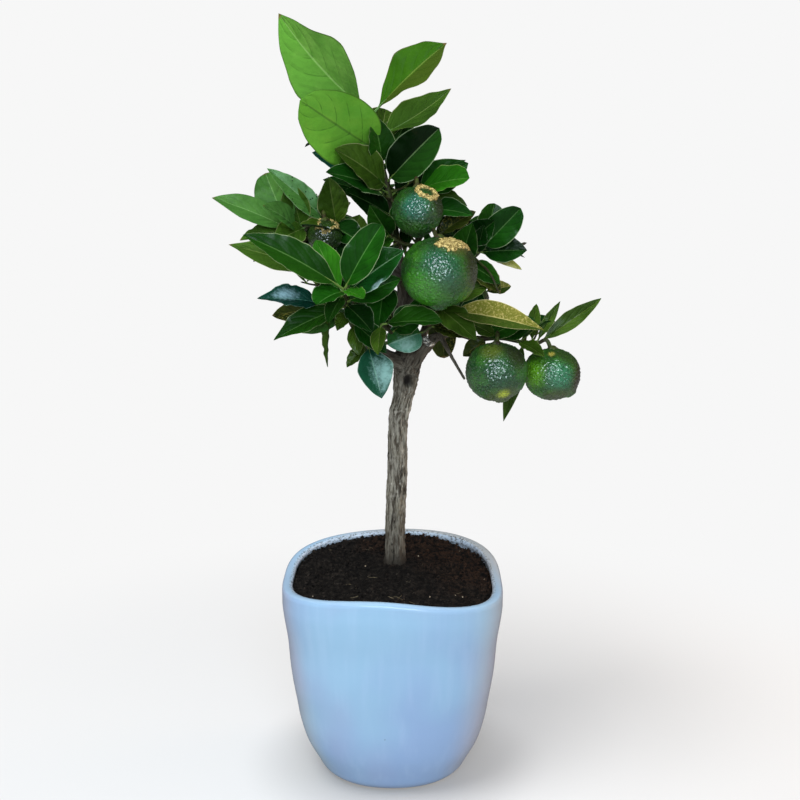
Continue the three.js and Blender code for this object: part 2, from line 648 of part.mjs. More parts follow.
// A lime: nearly round, a little flat at the stalk and pointed below
function limeSolid(centre, reach) {
  const top = reach * LIME_HEIGHT_SHARE;
  const rings = [[new THREE.Vector3(0, 0, top).add(centre)]];
  for (let i = 1; i < LIME_RINGS; i += 1) {
    const lean = (Math.PI * i) / LIME_RINGS;
    rings.push(Array.from({ length: LIME_SIDES }, (_, k) => {
      const turn = (2 * Math.PI * k) / LIME_SIDES;
      return new THREE.Vector3(
        reach * Math.sin(lean) * Math.cos(turn), reach * Math.sin(lean) * Math.sin(turn),
        top * Math.cos(lean),
      ).add(centre);
    }));
  }
  rings.push([new THREE.Vector3(0, 0, -reach).add(centre)]);
  return loft(rings);
}

// The stalk leaves the stem, rises over the fruit and enters it from above
function stalkLine(stem, [centre, radius, share]) {
  const start = along(stem, share);
  const middle = vector(centre);
  const above = middle.clone().add(new THREE.Vector3(0, 0, radius + STALK_RISE));
  const shoulder = above.clone().lerp(start, STALK_SHOULDER);
  shoulder.z = Math.max(shoulder.z, above.z);
  middle.z += radius * STALK_DEPTH_SHARE;
  return [start, shoulder, middle];
}

function insideSpace([centre, half], point, fill) {
  return ['x', 'y', 'z'].reduce(
    (sum, axis, i) => sum + ((point[axis] - centre[i]) / half[i]) ** 2, 0,
  ) <= fill ** 2;
}

function boxesMeet(a, b) {
  return [0, 1, 2].every((i) => a.min[i] <= b.max[i] && b.min[i] <= a.max[i]);
}

function solidsMeet(a, b, allowed) {
  return boxesMeet(a.boundingBox(), b.boundingBox()) && a.intersect(b).volume() > allowed;
}

// Everything that stands so far, by the name of the piece that it belongs to
const standing = [];

function meetsOthers(name, solid) {
  return standing.some((piece) => piece.name !== name && solidsMeet(solid, piece.solid, 0));
}

// Adds a twig to its mass unless it meets another piece
function tryTwig(mass, points) {
  if (meetsOthers(mass.name, tubeSolid(points, TWIG_STEPS, TWIG_SIDES, CLEARANCE))) return false;
  const own = tubeSolid(points, TWIG_STEPS, TWIG_SIDES, 0);
  mass.wood.push(own);
  standing.push({ name: mass.name, solid: own });
  return true;
}

// Adds a leaf to its mass unless it leaves the mass's space or meets something
function tryLeaf(mass, leaf, kind) {
  const tip = leaf.root.clone().addScaledVector(leaf.chord, leaf.length);
  if (!insideSpace(mass.space, tip, kind.fill)) return false;
  const wide = leafSolid(leaf, kind, CLEARANCE);
  if (meetsOthers(mass.name, wide)) return false;
  if (mass.fruit.some((fruit) => solidsMeet(wide, fruit, 0))) return false;
  const own = leafSolid(leaf, kind, 0);
  if (mass.blades.some((blade) => solidsMeet(own, blade, kind.crossing))) return false;
  mass.blades.push(own);
  standing.push({ name: mass.name, solid: own });
  return true;
}

function addLime(mass, lime) {
  const fruit = limeSolid(vector(lime[0]), lime[1]);
  const line = stalkLine(mass.stem, lime);
  const stalk = loft(tubeRings(line, STALK_STEPS, STEM_SIDES, () => STALK_RADIUS));
  mass.fruit.push(fruit);
  mass.wood.push(stalk);
  standing.push({ name: mass.name, solid: fruit }, { name: mass.name, solid: stalk });
}

// The stem, the twigs that the photograph shows, and the fruit
function startMass(name, plan, limbs) {
  const stem = plan.stem.map(vector);
  const twigs = [stem, ...plan.twigs.map((twig) => sideTwig(stem, twig))];
  const wood = [cutClear(tubeSolid(stem, STEM_STEPS, STEM_SIDES, 0), limbs)];
  const mass = { ...plan, name, stem, twigs, wood, fruit: [], blades: [] };
  standing.push({ name, solid: wood[0] });
  twigs.slice(1).forEach((twig) => tryTwig(mass, twig));
  plan.limes.forEach((lime) => addLime(mass, lime));
  return mass;
}

function placeLeaves(mass) {
  mass.leaves.forEach((numbers) => tryLeaf(mass, placedLeaf(mass.twigs, numbers), PLACED));
}

// Fills the mass by the seeded rule
function growMass(mass) {
  const [seed, count, perTwig, shortest, longest] = mass.grown;
  const draw = makeDraw(seed);
  const twigs = grownTwigs(mass.stem, count, draw);
  [mass.stem, ...twigs].forEach((twig) => {
    const leaves = grownLeaves(twig, perTwig, shortest, longest, draw);
    const fits = insideSpace(mass.space, twig.at(-1), GROWN.fill);
    if (twig === mass.stem || (fits && tryTwig(mass, twig))) {
      leaves.forEach((leaf) => tryLeaf(mass, leaf, GROWN));
    }
  });
}

function massSolid(mass) {
  const parts = [...mass.wood, ...mass.fruit, ...mass.blades];
  const whole = parts.reduce((sum, part) => sum.add(part));
  return cutClear(whole, []);
}

function meshFrom(name, solid, finish) {
  const { vertProperties, triVerts } = solid.getMesh();
  const geometry = new THREE.BufferGeometry();
  geometry.setAttribute('position', new THREE.BufferAttribute(vertProperties, 3));
  geometry.setIndex(new THREE.BufferAttribute(triVerts, 1));
  geometry.computeVertexNormals();
  const material = new THREE.MeshStandardMaterial({ ...finish, flatShading: true });
  const mesh = new THREE.Mesh(geometry, material);
  mesh.name = name;
  return mesh;
}

// Each bough is cut back from the trunk and from the boughs before it
function makeLimbs() {
  const limbs = [{ name: 'trunk', solid: trunkSolid(0), wide: trunkSolid(CLEARANCE) }];
  Object.entries(BOUGHS).forEach(([name, bough]) => {
    const solid = cutClear(boughSolid(bough, 0), limbs.map((limb) => limb.wide));
    limbs.push({ name, solid, wide: boughSolid(bough, CLEARANCE) });
  });
  return limbs;
}

function makeTree() {
  const tree = new THREE.Group();
  tree.add(meshFrom('pot', potSolid(), FINISH.glaze));
  tree.add(meshFrom('soil', soilSolid(), FINISH.soil));
  const limbs = makeLimbs();
  limbs.forEach(({ name, solid }) => {
    tree.add(meshFrom(name, solid, FINISH.bark));
    standing.push({ name, solid });
  });
  const wide = limbs.map((limb) => limb.wide);
  const masses = Object.entries(MASSES).map(([name, plan]) => startMass(name, plan, wide));
  masses.forEach(placeLeaves);
  masses.forEach(growMass);
  masses.forEach((mass) => tree.add(meshFrom(mass.name, massSolid(mass), FINISH.leaf)));
  return tree;
}

export default makeTree();
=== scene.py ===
"""A young rangpur lime tree in a wavy-rimmed glazed pot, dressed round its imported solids.

Sizes are millimetres, with +Z up and the viewer on the -Y side, and become metres when a mesh
is written. The crown grows again here by the rule that made its solids, so each leaf, twig and
fruit stands where its solid does, and a finer growth then fills the crown within the same reach.
"""

import logging
from dataclasses import dataclass, field
from enum import Enum
from math import atan2, cos, exp, floor, hypot, pi, remainder, sin, sqrt
from typing import Callable, Iterable, Sequence

import bmesh
import bpy
import numpy as np
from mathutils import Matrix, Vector, kdtree, noise


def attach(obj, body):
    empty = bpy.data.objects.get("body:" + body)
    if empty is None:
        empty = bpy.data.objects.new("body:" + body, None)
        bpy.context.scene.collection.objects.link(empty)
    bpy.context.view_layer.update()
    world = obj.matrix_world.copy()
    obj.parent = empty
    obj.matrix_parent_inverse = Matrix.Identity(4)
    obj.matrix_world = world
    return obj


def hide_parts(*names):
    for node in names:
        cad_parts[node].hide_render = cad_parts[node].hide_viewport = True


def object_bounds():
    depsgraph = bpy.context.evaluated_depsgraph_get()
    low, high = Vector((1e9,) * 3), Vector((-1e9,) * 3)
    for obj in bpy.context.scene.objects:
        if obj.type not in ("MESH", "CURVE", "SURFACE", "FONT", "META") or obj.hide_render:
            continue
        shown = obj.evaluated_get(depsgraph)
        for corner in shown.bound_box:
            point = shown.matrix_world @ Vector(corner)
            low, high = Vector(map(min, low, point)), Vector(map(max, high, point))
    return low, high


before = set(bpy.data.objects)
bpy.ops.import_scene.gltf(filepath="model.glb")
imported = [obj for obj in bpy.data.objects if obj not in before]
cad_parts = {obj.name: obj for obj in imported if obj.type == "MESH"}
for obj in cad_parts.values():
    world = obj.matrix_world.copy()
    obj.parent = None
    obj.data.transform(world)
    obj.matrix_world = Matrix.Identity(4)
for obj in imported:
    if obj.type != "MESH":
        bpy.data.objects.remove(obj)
CAD_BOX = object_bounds()

LOG = logging.getLogger("lime_tree")
MM = 0.001
DEGREE = pi / 180
GOLDEN_TURN = 137.5
NEARLY_UPRIGHT = 0.9
BODY = "root"

Pair = tuple[float, float]
Point = tuple[float, float, float]
Rings = list[np.ndarray]
Colour = tuple[float, float, float, float]
BMesh = bmesh.types.BMesh
Material = bpy.types.Material
Socket = bpy.types.NodeSocket
Feed = Socket | float | Sequence[float] | str
Balls = list[tuple[Vector, float]]


# Small maths

class Draw:
    """A seeded draw between 0 and 1: the same seed always gives the same row."""

    FACTOR = 16807
    RANGE = 2147483647

    def __init__(self, seed: int) -> None:
        """Starts the row at a seed."""
        self.state = seed

    def next(self) -> float:
        """Returns the next number of the row."""
        self.state = (self.state * self.FACTOR) % self.RANGE
        return self.state / self.RANGE

    def between(self, low: float, high: float) -> float:
        """Returns a number from low to high."""
        return low + (high - low) * self.next()

    def within(self, pair: Pair) -> float:
        """Returns the least of a pair with a drawn share of what may be added."""
        return pair[0] + pair[1] * self.next()


def mix(a: float, b: float, share: float) -> float:
    """Returns the value a share of the way from a to b."""
    return a + (b - a) * share


def smooth(low: float, high: float, value: float) -> float:
    """Returns a soft step from 0 at low to 1 at high."""
    share = min(max((value - low) / (high - low), 0.0), 1.0)
    return share * share * (3 - 2 * share)


def square_to(wanted: Vector, direction: Vector) -> Vector:
    """Returns the part of a vector that is square to a direction, as a unit vector."""
    return (wanted - direction * wanted.dot(direction)).normalized()


def across_from(direction: Vector) -> Vector:
    """Returns a direction that is well away from the given one."""
    return Vector((0, 0, 1)) if abs(direction.z) < NEARLY_UPRIGHT else Vector((1, 0, 0))


def aim(heading: float, lean: float) -> Vector:
    """Returns a direction from a heading in the viewer's plane and a lean to the viewer."""
    flat = cos(lean * DEGREE)
    return Vector((cos(heading * DEGREE) * flat, -sin(lean * DEGREE), sin(heading * DEGREE) * flat))


def looking_to(facing: float, tilt: float) -> Vector:
    """Returns the way a leaf's upper side looks, turned from the viewer and tilted up."""
    flat = cos(tilt * DEGREE)
    return Vector((sin(facing * DEGREE) * flat, -cos(facing * DEGREE) * flat, sin(tilt * DEGREE)))


def spread_from(axis: Vector, turn: float, angle: float) -> Vector:
    """Returns a direction that leaves an axis at an angle, turned round it."""
    side = square_to(across_from(axis), axis)
    other = axis.cross(side)
    reach = sin(angle * DEGREE)
    return (axis * cos(angle * DEGREE) + side * (reach * cos(turn * DEGREE))
            + other * (reach * sin(turn * DEGREE)))


def hermite(t: float) -> tuple[float, float, float, float]:
    """Returns the weights of a stretch's start, the slope there, its end and the slope there."""
    return 2 * t**3 - 3 * t**2 + 1, t**3 - 2 * t**2 + t, 3 * t**2 - 2 * t**3, t**3 - t**2


def turns_of(sides: int) -> np.ndarray:
    """Returns the turns of the corners of an even ring."""
    return np.arange(sides) * (2 * pi / sides)


def ring_at(middle: Sequence[float], side: Sequence[float], other: Sequence[float],
            turns: np.ndarray, reach: float | np.ndarray) -> np.ndarray:
    """Returns a ring's corners: two directions span it, and its reach may change round it."""
    return (np.array(middle) + np.outer(np.cos(turns) * reach, side)
            + np.outer(np.sin(turns) * reach, other))


def finder_of(points: Sequence[Vector]) -> kdtree.KDTree:
    """Returns a finder of the nearest of many points."""
    finder = kdtree.KDTree(len(points))
    for index, point in enumerate(points):
        finder.insert(point, index)
    finder.balance()
    return finder


@dataclass(frozen=True)
class Line:
    """A smooth curve through a few points."""

    points: tuple[Vector, ...]

    STEP = 0.01

    @classmethod
    def through(cls, points: Iterable[Sequence[float]]) -> "Line":
        """Returns the curve through rows of three numbers."""
        return cls(tuple(Vector(point) for point in points))

    def at(self, share: float) -> Vector:
        """Returns the point at a share of the way from first to last."""
        last = len(self.points) - 1
        place = min(max(share, 0.0), 1.0) * last
        start = min(floor(place), last - 1)
        t = place - start
        b, c = self.points[start], self.points[start + 1]
        a = self.points[start - 1] if start > 0 else b * 2 - c
        d = self.points[start + 2] if start + 2 <= last else c * 2 - b
        at_b, from_b, at_c, to_c = hermite(t)
        return b * at_b + (c - a) * (0.5 * from_b) + c * at_c + (d - b) * (0.5 * to_c)

    def direction(self, share: float) -> Vector:
        """Returns the direction of the curve at a share of the way."""
        return (self.at(min(share + self.STEP, 1)) - self.at(max(share - self.STEP, 0))).normalized()

    def rings(self, steps: int, sides: int, radius_at: Callable[[float], float]) -> Rings:
        """Works out round rings along the curve, carried along without twisting.

        Args:
            steps: how many stretches the curve is cut into.
            sides: how many corners a ring has.
            radius_at: the radius at a share of the way.

        Returns:
            One array of corners for each ring.
        """
        rings = []
        side = None
        for share in (i / steps for i in range(steps + 1)):
            direction = self.direction(share)
            side = square_to(side or across_from(direction), direction)
            rings.append(ring_at(self.at(share), side, direction.cross(side), turns_of(sides),
                                 radius_at(share)))
        return rings


# Meshes

def put_in_order(bm: BMesh) -> None:
    """Sorts the faces by their corners, because the extrude operator's own order changes."""
    bm.verts.index_update()
    count = len(bm.verts)

    def rank(face: bmesh.types.BMFace) -> int:
        a, b, c = sorted(vert.index for vert in face.verts)[:3]
        return (a * count + b) * count + c

    bm.faces.sort(key=rank)


def loft(bm: BMesh, rings: Sequence[np.ndarray], first: Sequence[float] | None = None,
         last: Sequence[float] | None = None) -> None:
    """Draws a closed skin out of one ring through the others, with the extrude operator.

    Args:
        bm: the mesh that takes the skin, in metres.
        rings: the corners of each ring in millimetres, all with the same count.
        first: a pole that closes the start, or a flat face where it is left out.
        last: a pole that closes the end, or a flat face where it is left out.
    """
    sides = len(rings[0])
    ring = bmesh.ops.create_circle(bm, segments=sides, radius=1)["verts"]
    start = ring
    for vert, place in zip(ring, rings[0]):
        vert.co = Vector(place) * MM
    for places in rings[1:]:
        edges = [bm.edges.get((ring[k], ring[(k + 1) % sides])) for k in range(sides)]
        grown = bmesh.ops.extrude_edge_only(bm, edges=edges)["geom"]
        fresh = {vert for vert in grown if isinstance(vert, bmesh.types.BMVert)}
        ring = [next(edge.other_vert(vert) for edge in vert.link_edges
                     if edge.other_vert(vert) in fresh) for vert in ring]
        for vert, place in zip(ring, places):
            vert.co = Vector(place) * MM
    for loop, pole in ((start, first), (ring, last)):
        face = bmesh.ops.contextual_create(bm, geom=loop)["faces"]
        if pole is not None:
            middle = bmesh.ops.poke(bm, faces=face)["verts"][0]
            middle.co = Vector(pole) * MM
    put_in_order(bm)
    bmesh.ops.recalc_face_normals(bm, faces=bm.faces)


def in_scene(name: str, data: bpy.types.ID) -> bpy.types.Object:
    """Puts a mesh, a lamp or a camera in the scene."""
    holder = bpy.data.objects.new(name, data)
    bpy.context.scene.collection.objects.link(holder)
    return holder


def finished(name: str, bm: BMesh, materials: Sequence[Material], crease: float = 60) -> bpy.types.Object:
    """Makes an object of a bmesh, smooth but for edges sharper than the crease angle."""
    mesh = bpy.data.meshes.new(name)
    bm.to_mesh(mesh)
    bm.free()
    return dressed(name, mesh, materials, crease)


def dressed(name: str, mesh: bpy.types.Mesh, materials: Sequence[Material],
            crease: float = 60) -> bpy.types.Object:
    """Puts a mesh in the scene with its materials and smooth shading."""
    mesh.polygons.foreach_set("use_smooth", [True] * len(mesh.polygons))
    mesh.set_sharp_from_angle(angle=crease * DEGREE)
    for material in materials:
        mesh.materials.append(material)
    return in_scene(name, mesh)


def hand_over(piece: bpy.types.Object, slot: str, *nodes: str) -> bpy.types.Object:
    """Lets a piece ride on the body, hides its solids and reports it."""
    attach(piece, BODY)
    if nodes:
        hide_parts(*nodes)
    triangles = sum(len(face.vertices) - 2 for face in piece.data.polygons)
    LOG.info("%s: %d triangles", piece.name, triangles)
    return piece


def give_numbers(mesh: bpy.types.Mesh, name: str, values: Sequence[float]) -> None:
    """Stores one number for each corner of a mesh."""
    mesh.attributes.new(name, "FLOAT", "POINT").data.foreach_set("value", values)


def join_into(bm: BMesh, other: BMesh) -> None:
    """Adds one bmesh to another and frees it."""
    mesh = bpy.data.meshes.new("joined")
    other.to_mesh(mesh)
    other.free()
    bm.from_mesh(mesh)
    bpy.data.meshes.remove(mesh)


class Sheaf:
    """Many small shapes that are joined into one mesh from arrays."""

    def __init__(self) -> None:
        """Starts empty."""
        self.corners: list[np.ndarray] = []
        self.faces: list[list[int]] = []
        self.looks: list[int] = []
        self.places: list[Pair] = []
        self.shades: list[float] = []
        self.count = 0

    def add(self, corners: np.ndarray, faces: Iterable[Sequence[int]], looks: Iterable[int],
            places: Iterable[Pair], shade: float) -> None:
        """Adds one shape.

        Args:
            corners: its corners in millimetres.
            faces: its faces, counted from its own first corner.
            looks: the material of each face.
            places: where each face corner lies on the pattern, face by face.
            shade: how light this shape is among its neighbours, from 0 to 1.
        """
        self.corners.append(corners)
        self.faces.extend([self.count + corner for corner in face] for face in faces)
        self.looks.extend(looks)
        self.places.extend(places)
        self.shades.extend([shade] * len(corners))
        self.count += len(corners)

    def add_rings(self, rings: Sequence[np.ndarray], look: int, shade: float,
                  tip: Vector | None = None) -> None:
        """Adds a tube through a row of rings, with both ends closed."""
        sides = len(rings[0])
        corners = np.concatenate(rings)
        end = (len(rings) - 1) * sides
        faces = [[low + k, low + (k + 1) % sides, low + sides + (k + 1) % sides, low + sides + k]
                 for low in range(0, end, sides) for k in range(sides)]
        faces.append(list(range(sides))[::-1])
        if tip is None:
            faces.append(list(range(end, end + sides)))
        else:
            corners = np.vstack([corners, np.array(tip)])
            faces.extend([end + k, end + (k + 1) % sides, end + sides] for k in range(sides))
        places = [(0.5, 0.5)] * sum(len(face) for face in faces)
        self.add(corners, faces, [look] * len(faces), places, shade)

    def make(self, name: str, materials: Sequence[Material], crease: float = 60) -> bpy.types.Object:
        """Joins everything into one object."""
        mesh = bpy.data.meshes.new(name)
        mesh.from_pydata((np.concatenate(self.corners) * MM).tolist(), [], self.faces)
        mesh.polygons.foreach_set("material_index", self.looks)
        layer = mesh.uv_layers.new(name="blade")
        layer.data.foreach_set("uv", np.array(self.places, np.float32).ravel())
        give_numbers(mesh, "shade", self.shades)
        return dressed(name, mesh, materials, crease)


# Materials

def paint(code: str) -> Colour:
    """Returns the linear colour of a six-digit colour code."""
    parts = [int(code[i:i + 2], 16) / 255 for i in (1, 3, 5)]
    linear = [p / 12.92 if p <= 0.04045 else ((p + 0.055) / 1.055) ** 2.4 for p in parts]
    return (linear[0], linear[1], linear[2], 1.0)


class Nodes:
    """A tree of shader nodes, wired by short calls."""

    def __init__(self, tree: bpy.types.NodeTree) -> None:
        """Starts with an empty tree."""
        self.tree = tree
        tree.nodes.clear()

    def feed(self, socket: Socket, value: Feed) -> None:
        """Links a socket to another, or sets its own value."""
        if isinstance(value, Socket):
            self.tree.links.new(value, socket)
        else:
            socket.default_value = paint(value) if isinstance(value, str) else value

    def add(self, kind: str, output: int | str, inputs: dict[int | str, Feed], **settings: str) -> Socket:
        """Adds a node, gives it its settings and inputs, and returns one of its outputs."""
        node = self.tree.nodes.new("ShaderNode" + kind)
        for name, value in settings.items():
            setattr(node, name, value)
        for name, value in inputs.items():
            self.feed(node.inputs[name], value)
        return node.outputs[output]


class NodeSheet(Nodes):
    """The nodes of one material, whose colour is laid on coat by coat."""

    def __init__(self, name: str, roughness: float = 0.5, specular: float = 0.5) -> None:
        """Starts a material with one shader, whose even values are set on its sockets."""
        self.material = bpy.data.materials.new(name)
        self.material.use_nodes = True
        super().__init__(self.material.node_tree)
        self.shader = self.tree.nodes.new("ShaderNodeBsdfPrincipled")
        self.surface = self.tree.nodes.new("ShaderNodeOutputMaterial").inputs["Surface"]
        self.feed(self.surface, self.shader.outputs["BSDF"])
        self.set("Roughness", roughness)
        self.set("Specular IOR Level", specular)
        self.point = self.placed()
        self.tint: Feed = "#000000"

    def set(self, name: str, value: Feed) -> None:
        """Sets or links one of the shader's sockets."""
        self.feed(self.shader.inputs[name], value)

    def math(self, operation: str, a: Feed, b: Feed = 0.0, c: Feed = 0.0) -> Socket:
        """Adds one sum and returns its result."""
        return self.add("Math", 0, {0: a, 1: b, 2: c}, operation=operation)

    def times(self, a: Feed, b: Feed) -> Socket:
        """Multiplies two values."""
        return self.math("MULTIPLY", a, b)

    def scaled(self, value: Feed, factor: Feed, more: Feed) -> Socket:
        """Multiplies a value by a factor and adds some more."""
        return self.math("MULTIPLY_ADD", value, factor, more)

    def step(self, value: Feed, low: float, high: float, to_low: float = 0.0,
             to_high: float = 1.0) -> Socket:
        """Adds a soft step between two values."""
        return self.add("MapRange", "Result", {
            "Value": value, "From Min": low, "From Max": high, "To Min": to_low,
            "To Max": to_high}, interpolation_type="SMOOTHSTEP")

    def blend(self, share: Feed, a: Feed, b: Feed) -> Socket:
        """Mixes two colours."""
        return self.add("Mix", 2, {0: share, 6: a, 7: b}, data_type="RGBA")

    def lay(self, share: Feed, colour: Feed, under: Feed | None = None) -> None:
        """Lays a colour by a share over the one so far, or over the first one."""
        self.tint = self.blend(share, self.tint if under is None else under, colour)
        self.set("Base Color", self.tint)

    def placed(self, stretch: Point = (1, 1, 1), middle: Point = (0, 0, 0)) -> Socket:
        """Returns the object's own coordinates in metres, moved to a middle and stretched."""
        return self.add("Mapping", 0, {"Vector": self.add("TexCoord", "Object", {}), "Scale": stretch,
            "Location": [-m * s for m, s in zip(middle, stretch)]})

    def attribute(self, name: str, kind: str = "Fac") -> Socket:
        """Returns an attribute of the mesh."""
        return self.add("Attribute", kind, {}, attribute_name=name)

    def apart(self, point: Socket) -> tuple[Socket, ...]:
        """Returns the three numbers of a point."""
        return tuple(self.add("SeparateXYZ", 0, {0: point}).node.outputs)

    def noise(self, point: Feed, scale: float, detail: float = 3, roughness: float = 0.5,
              distortion: float = 0.0) -> Socket:
        """Returns cloudy noise."""
        return self.add("TexNoise", "Fac", {"Vector": point, "Scale": scale, "Detail": detail,
                                            "Roughness": roughness, "Distortion": distortion})

    def cells(self, point: Feed, scale: float) -> Socket:
        """Returns the distance to the nearest of many scattered points."""
        return self.add("TexVoronoi", "Distance", {"Vector": point, "Scale": scale})

    def bump(self, height: Feed, distance: float, strength: float = 1.0) -> None:
        """Raises the surface by a height, over any relief that is already there."""
        inputs = {"Height": height, "Distance": distance, "Strength": strength}
        normal = self.shader.inputs["Normal"]
        if normal.is_linked:
            inputs["Normal"] = normal.links[0].from_socket
        self.feed(normal, self.add("Bump", 0, inputs))

    def coat(self, weight: float, roughness: float) -> None:
        """Adds a clear coat."""
        self.set("Coat Weight", weight)
        self.set("Coat Roughness", roughness)


@dataclass(frozen=True)
class GlazeFinish:
    """Pale blue stoneware glaze with drifting tints, pinholes, a lip where it thins and painted edge
    reflections.
    """

    name: str
    body: str
    cool: str
    violet: str
    lip: str
    warm: str
    smudge: float = 0.0

    # The two side tints are painted reflections: warm at the pot's right edge, pale grey at its left edge.
    STREAK, WARM_SIDE, PALE_SIDE = "#b4cbe6", "#ab9a92", "#cfc8c2"
    SOILED, PINHOLE, SCUFF = "#3c352f", "#46505e", "#7b7a76"
    SIDE = 0.094
    SOIL_LINE = (0.187, 0.171)

    def material(self) -> Material:
        """Builds the glaze."""
        sheet = NodeSheet(self.name, 0.26, 0.4)
        point = sheet.point
        sheet.lay(sheet.step(sheet.noise(point, 9, 2), 0.35, 0.62), self.body, self.cool)
        other = sheet.noise(sheet.placed((1, 1, 0.6), (0.3, 0.1, 0)), 12, 2)
        sheet.lay(sheet.step(other, 0.48, 0.75, 0, 0.6), self.violet)
        streaks = sheet.noise(sheet.placed((1, 1, 0.08)), 130, 3)
        sheet.lay(sheet.step(streaks, 0.45, 0.8, 0, 0.12), self.STREAK)
        across, away, height = sheet.apart(point)
        # Painted reflections at the right and left edges, reaching further in lower down.
        narrowed = sheet.scaled(height, -0.17, 0.028)
        for sense, start, share, colour in (("ADD", 0.06, 0.42, self.WARM_SIDE),
                                            ("SUBTRACT", 0.072, 0.3, self.PALE_SIDE)):
            side = sheet.math(sense, narrowed, across)
            sheet.lay(sheet.step(side, start, self.SIDE, 0, share), colour)
        ragged = sheet.scaled(sheet.noise(point, 160, 4), 0.4, -0.2)
        back = sheet.scaled(away, 7.0, sheet.times(across, 5.0))
        rim = sheet.blend(sheet.step(back, 0.1, 0.8), self.lip, self.warm)
        lip = sheet.math("ADD", sheet.attribute("lip"), ragged)
        sheet.lay(sheet.step(lip, 0.45, 0.95, 0, 0.75), rim)
        if self.smudge:
            crumbs = sheet.step(sheet.noise(point, 520, 5, 0.7), 0.5, 0.6)
            low = sheet.step(height, *self.SOIL_LINE, 0, self.smudge)
            sheet.lay(sheet.times(crumbs, low), self.SOILED)
        spots = sheet.math("LESS_THAN", sheet.cells(point, 42), 0.022)
        sheet.lay(sheet.times(spots, 0.6), self.PINHOLE)
        grime = sheet.step(sheet.noise(point, 240, 4), 0.6, 0.7)
        foot = sheet.times(sheet.step(height, 0.004, 0.0), grime)
        sheet.lay(sheet.times(foot, 0.5), self.SCUFF)
        sheet.coat(0.35, 0.1)
        sheet.bump(sheet.noise(point, 45, 2), 0.0011, 0.35)
        sheet.bump(sheet.noise(point, 900, 2), 0.00006, 0.5)
        sheet.bump(sheet.times(spots, -1.0), 0.0003, 0.7)
        return sheet.material


@dataclass(frozen=True)
class GrainFinish:
    """A matt surface that is grained in two shades, such as fired clay, cut wood or the painted gold
    highlight on the limes.
    """

    name: str
    dark: str
    light: str
    roughness: float
    grain: Point
    spread: Pair
    relief: Pair
    specular: float = 0.3

    def material(self) -> Material:
        """Builds the grained surface."""
        sheet = NodeSheet(self.name, self.roughness, self.specular)
        grain = sheet.noise(sheet.point, *self.grain)
        sheet.lay(sheet.step(grain, *self.spread), self.light, self.dark)
        sheet.bump(grain, *self.relief)
        return sheet.material


def clay(name: str) -> GrainFinish:
    """Returns fired clay, for the pot's foot and the pale grains in the soil."""
    return GrainFinish(name, "#b9a78e", "#d8cab2", 0.85, (700, 5, 0.65), (0.35, 0.7), (0.0003, 0.6))


CUT_WOOD = GrainFinish("cut_wood", "#5b5954", "#e6e4dc", 0.75, (520, 4, 0.6), (0.47, 0.6), (0.0005, 0.8))
# Painted highlight: the gold of warm light on the limes' tops, laid on their raised crusts.
GOLD_GLINT_SKIN = GrainFinish("painted_gold_glint", "#5f4f1c", "#e6cf88", 0.6, (620, 5, 0.7), (0.40, 0.66),
                   (0.0006, 0.9), 0.4)


@dataclass(frozen=True)
class SoilFinish:
    """Dark, damp potting soil, redder on one side, with pale grains."""

    name: str
    dark: str
    light: str
    red: str

    GRAIN = "#5d574d"

    def material(self) -> Material:
        """Builds the soil."""
        sheet = NodeSheet(self.name, 0.95, 0.15)
        point = sheet.point
        clods = sheet.noise(point, 260, 6, 0.7)
        sheet.lay(sheet.step(clods, 0.42, 0.72), self.light, self.dark)
        across, away, _ = sheet.apart(point)
        side = sheet.scaled(across, 6.0, sheet.times(away, 5.0))
        warm = sheet.step(sheet.math("ADD", side, sheet.noise(point, 40, 3)), 0.45, 1.15)
        share = sheet.times(warm, sheet.step(clods, 0.4, 0.6))
        sheet.lay(sheet.times(share, 0.8), self.red)
        grains = sheet.math("LESS_THAN", sheet.cells(point, 520), 0.16)
        rare = sheet.step(sheet.noise(point, 150, 2), 0.6, 0.68)
        sheet.lay(sheet.times(sheet.times(grains, rare), 0.75), self.GRAIN)
        sheet.bump(sheet.noise(point, 850, 6, 0.75), 0.0009, 0.9)
        return sheet.material


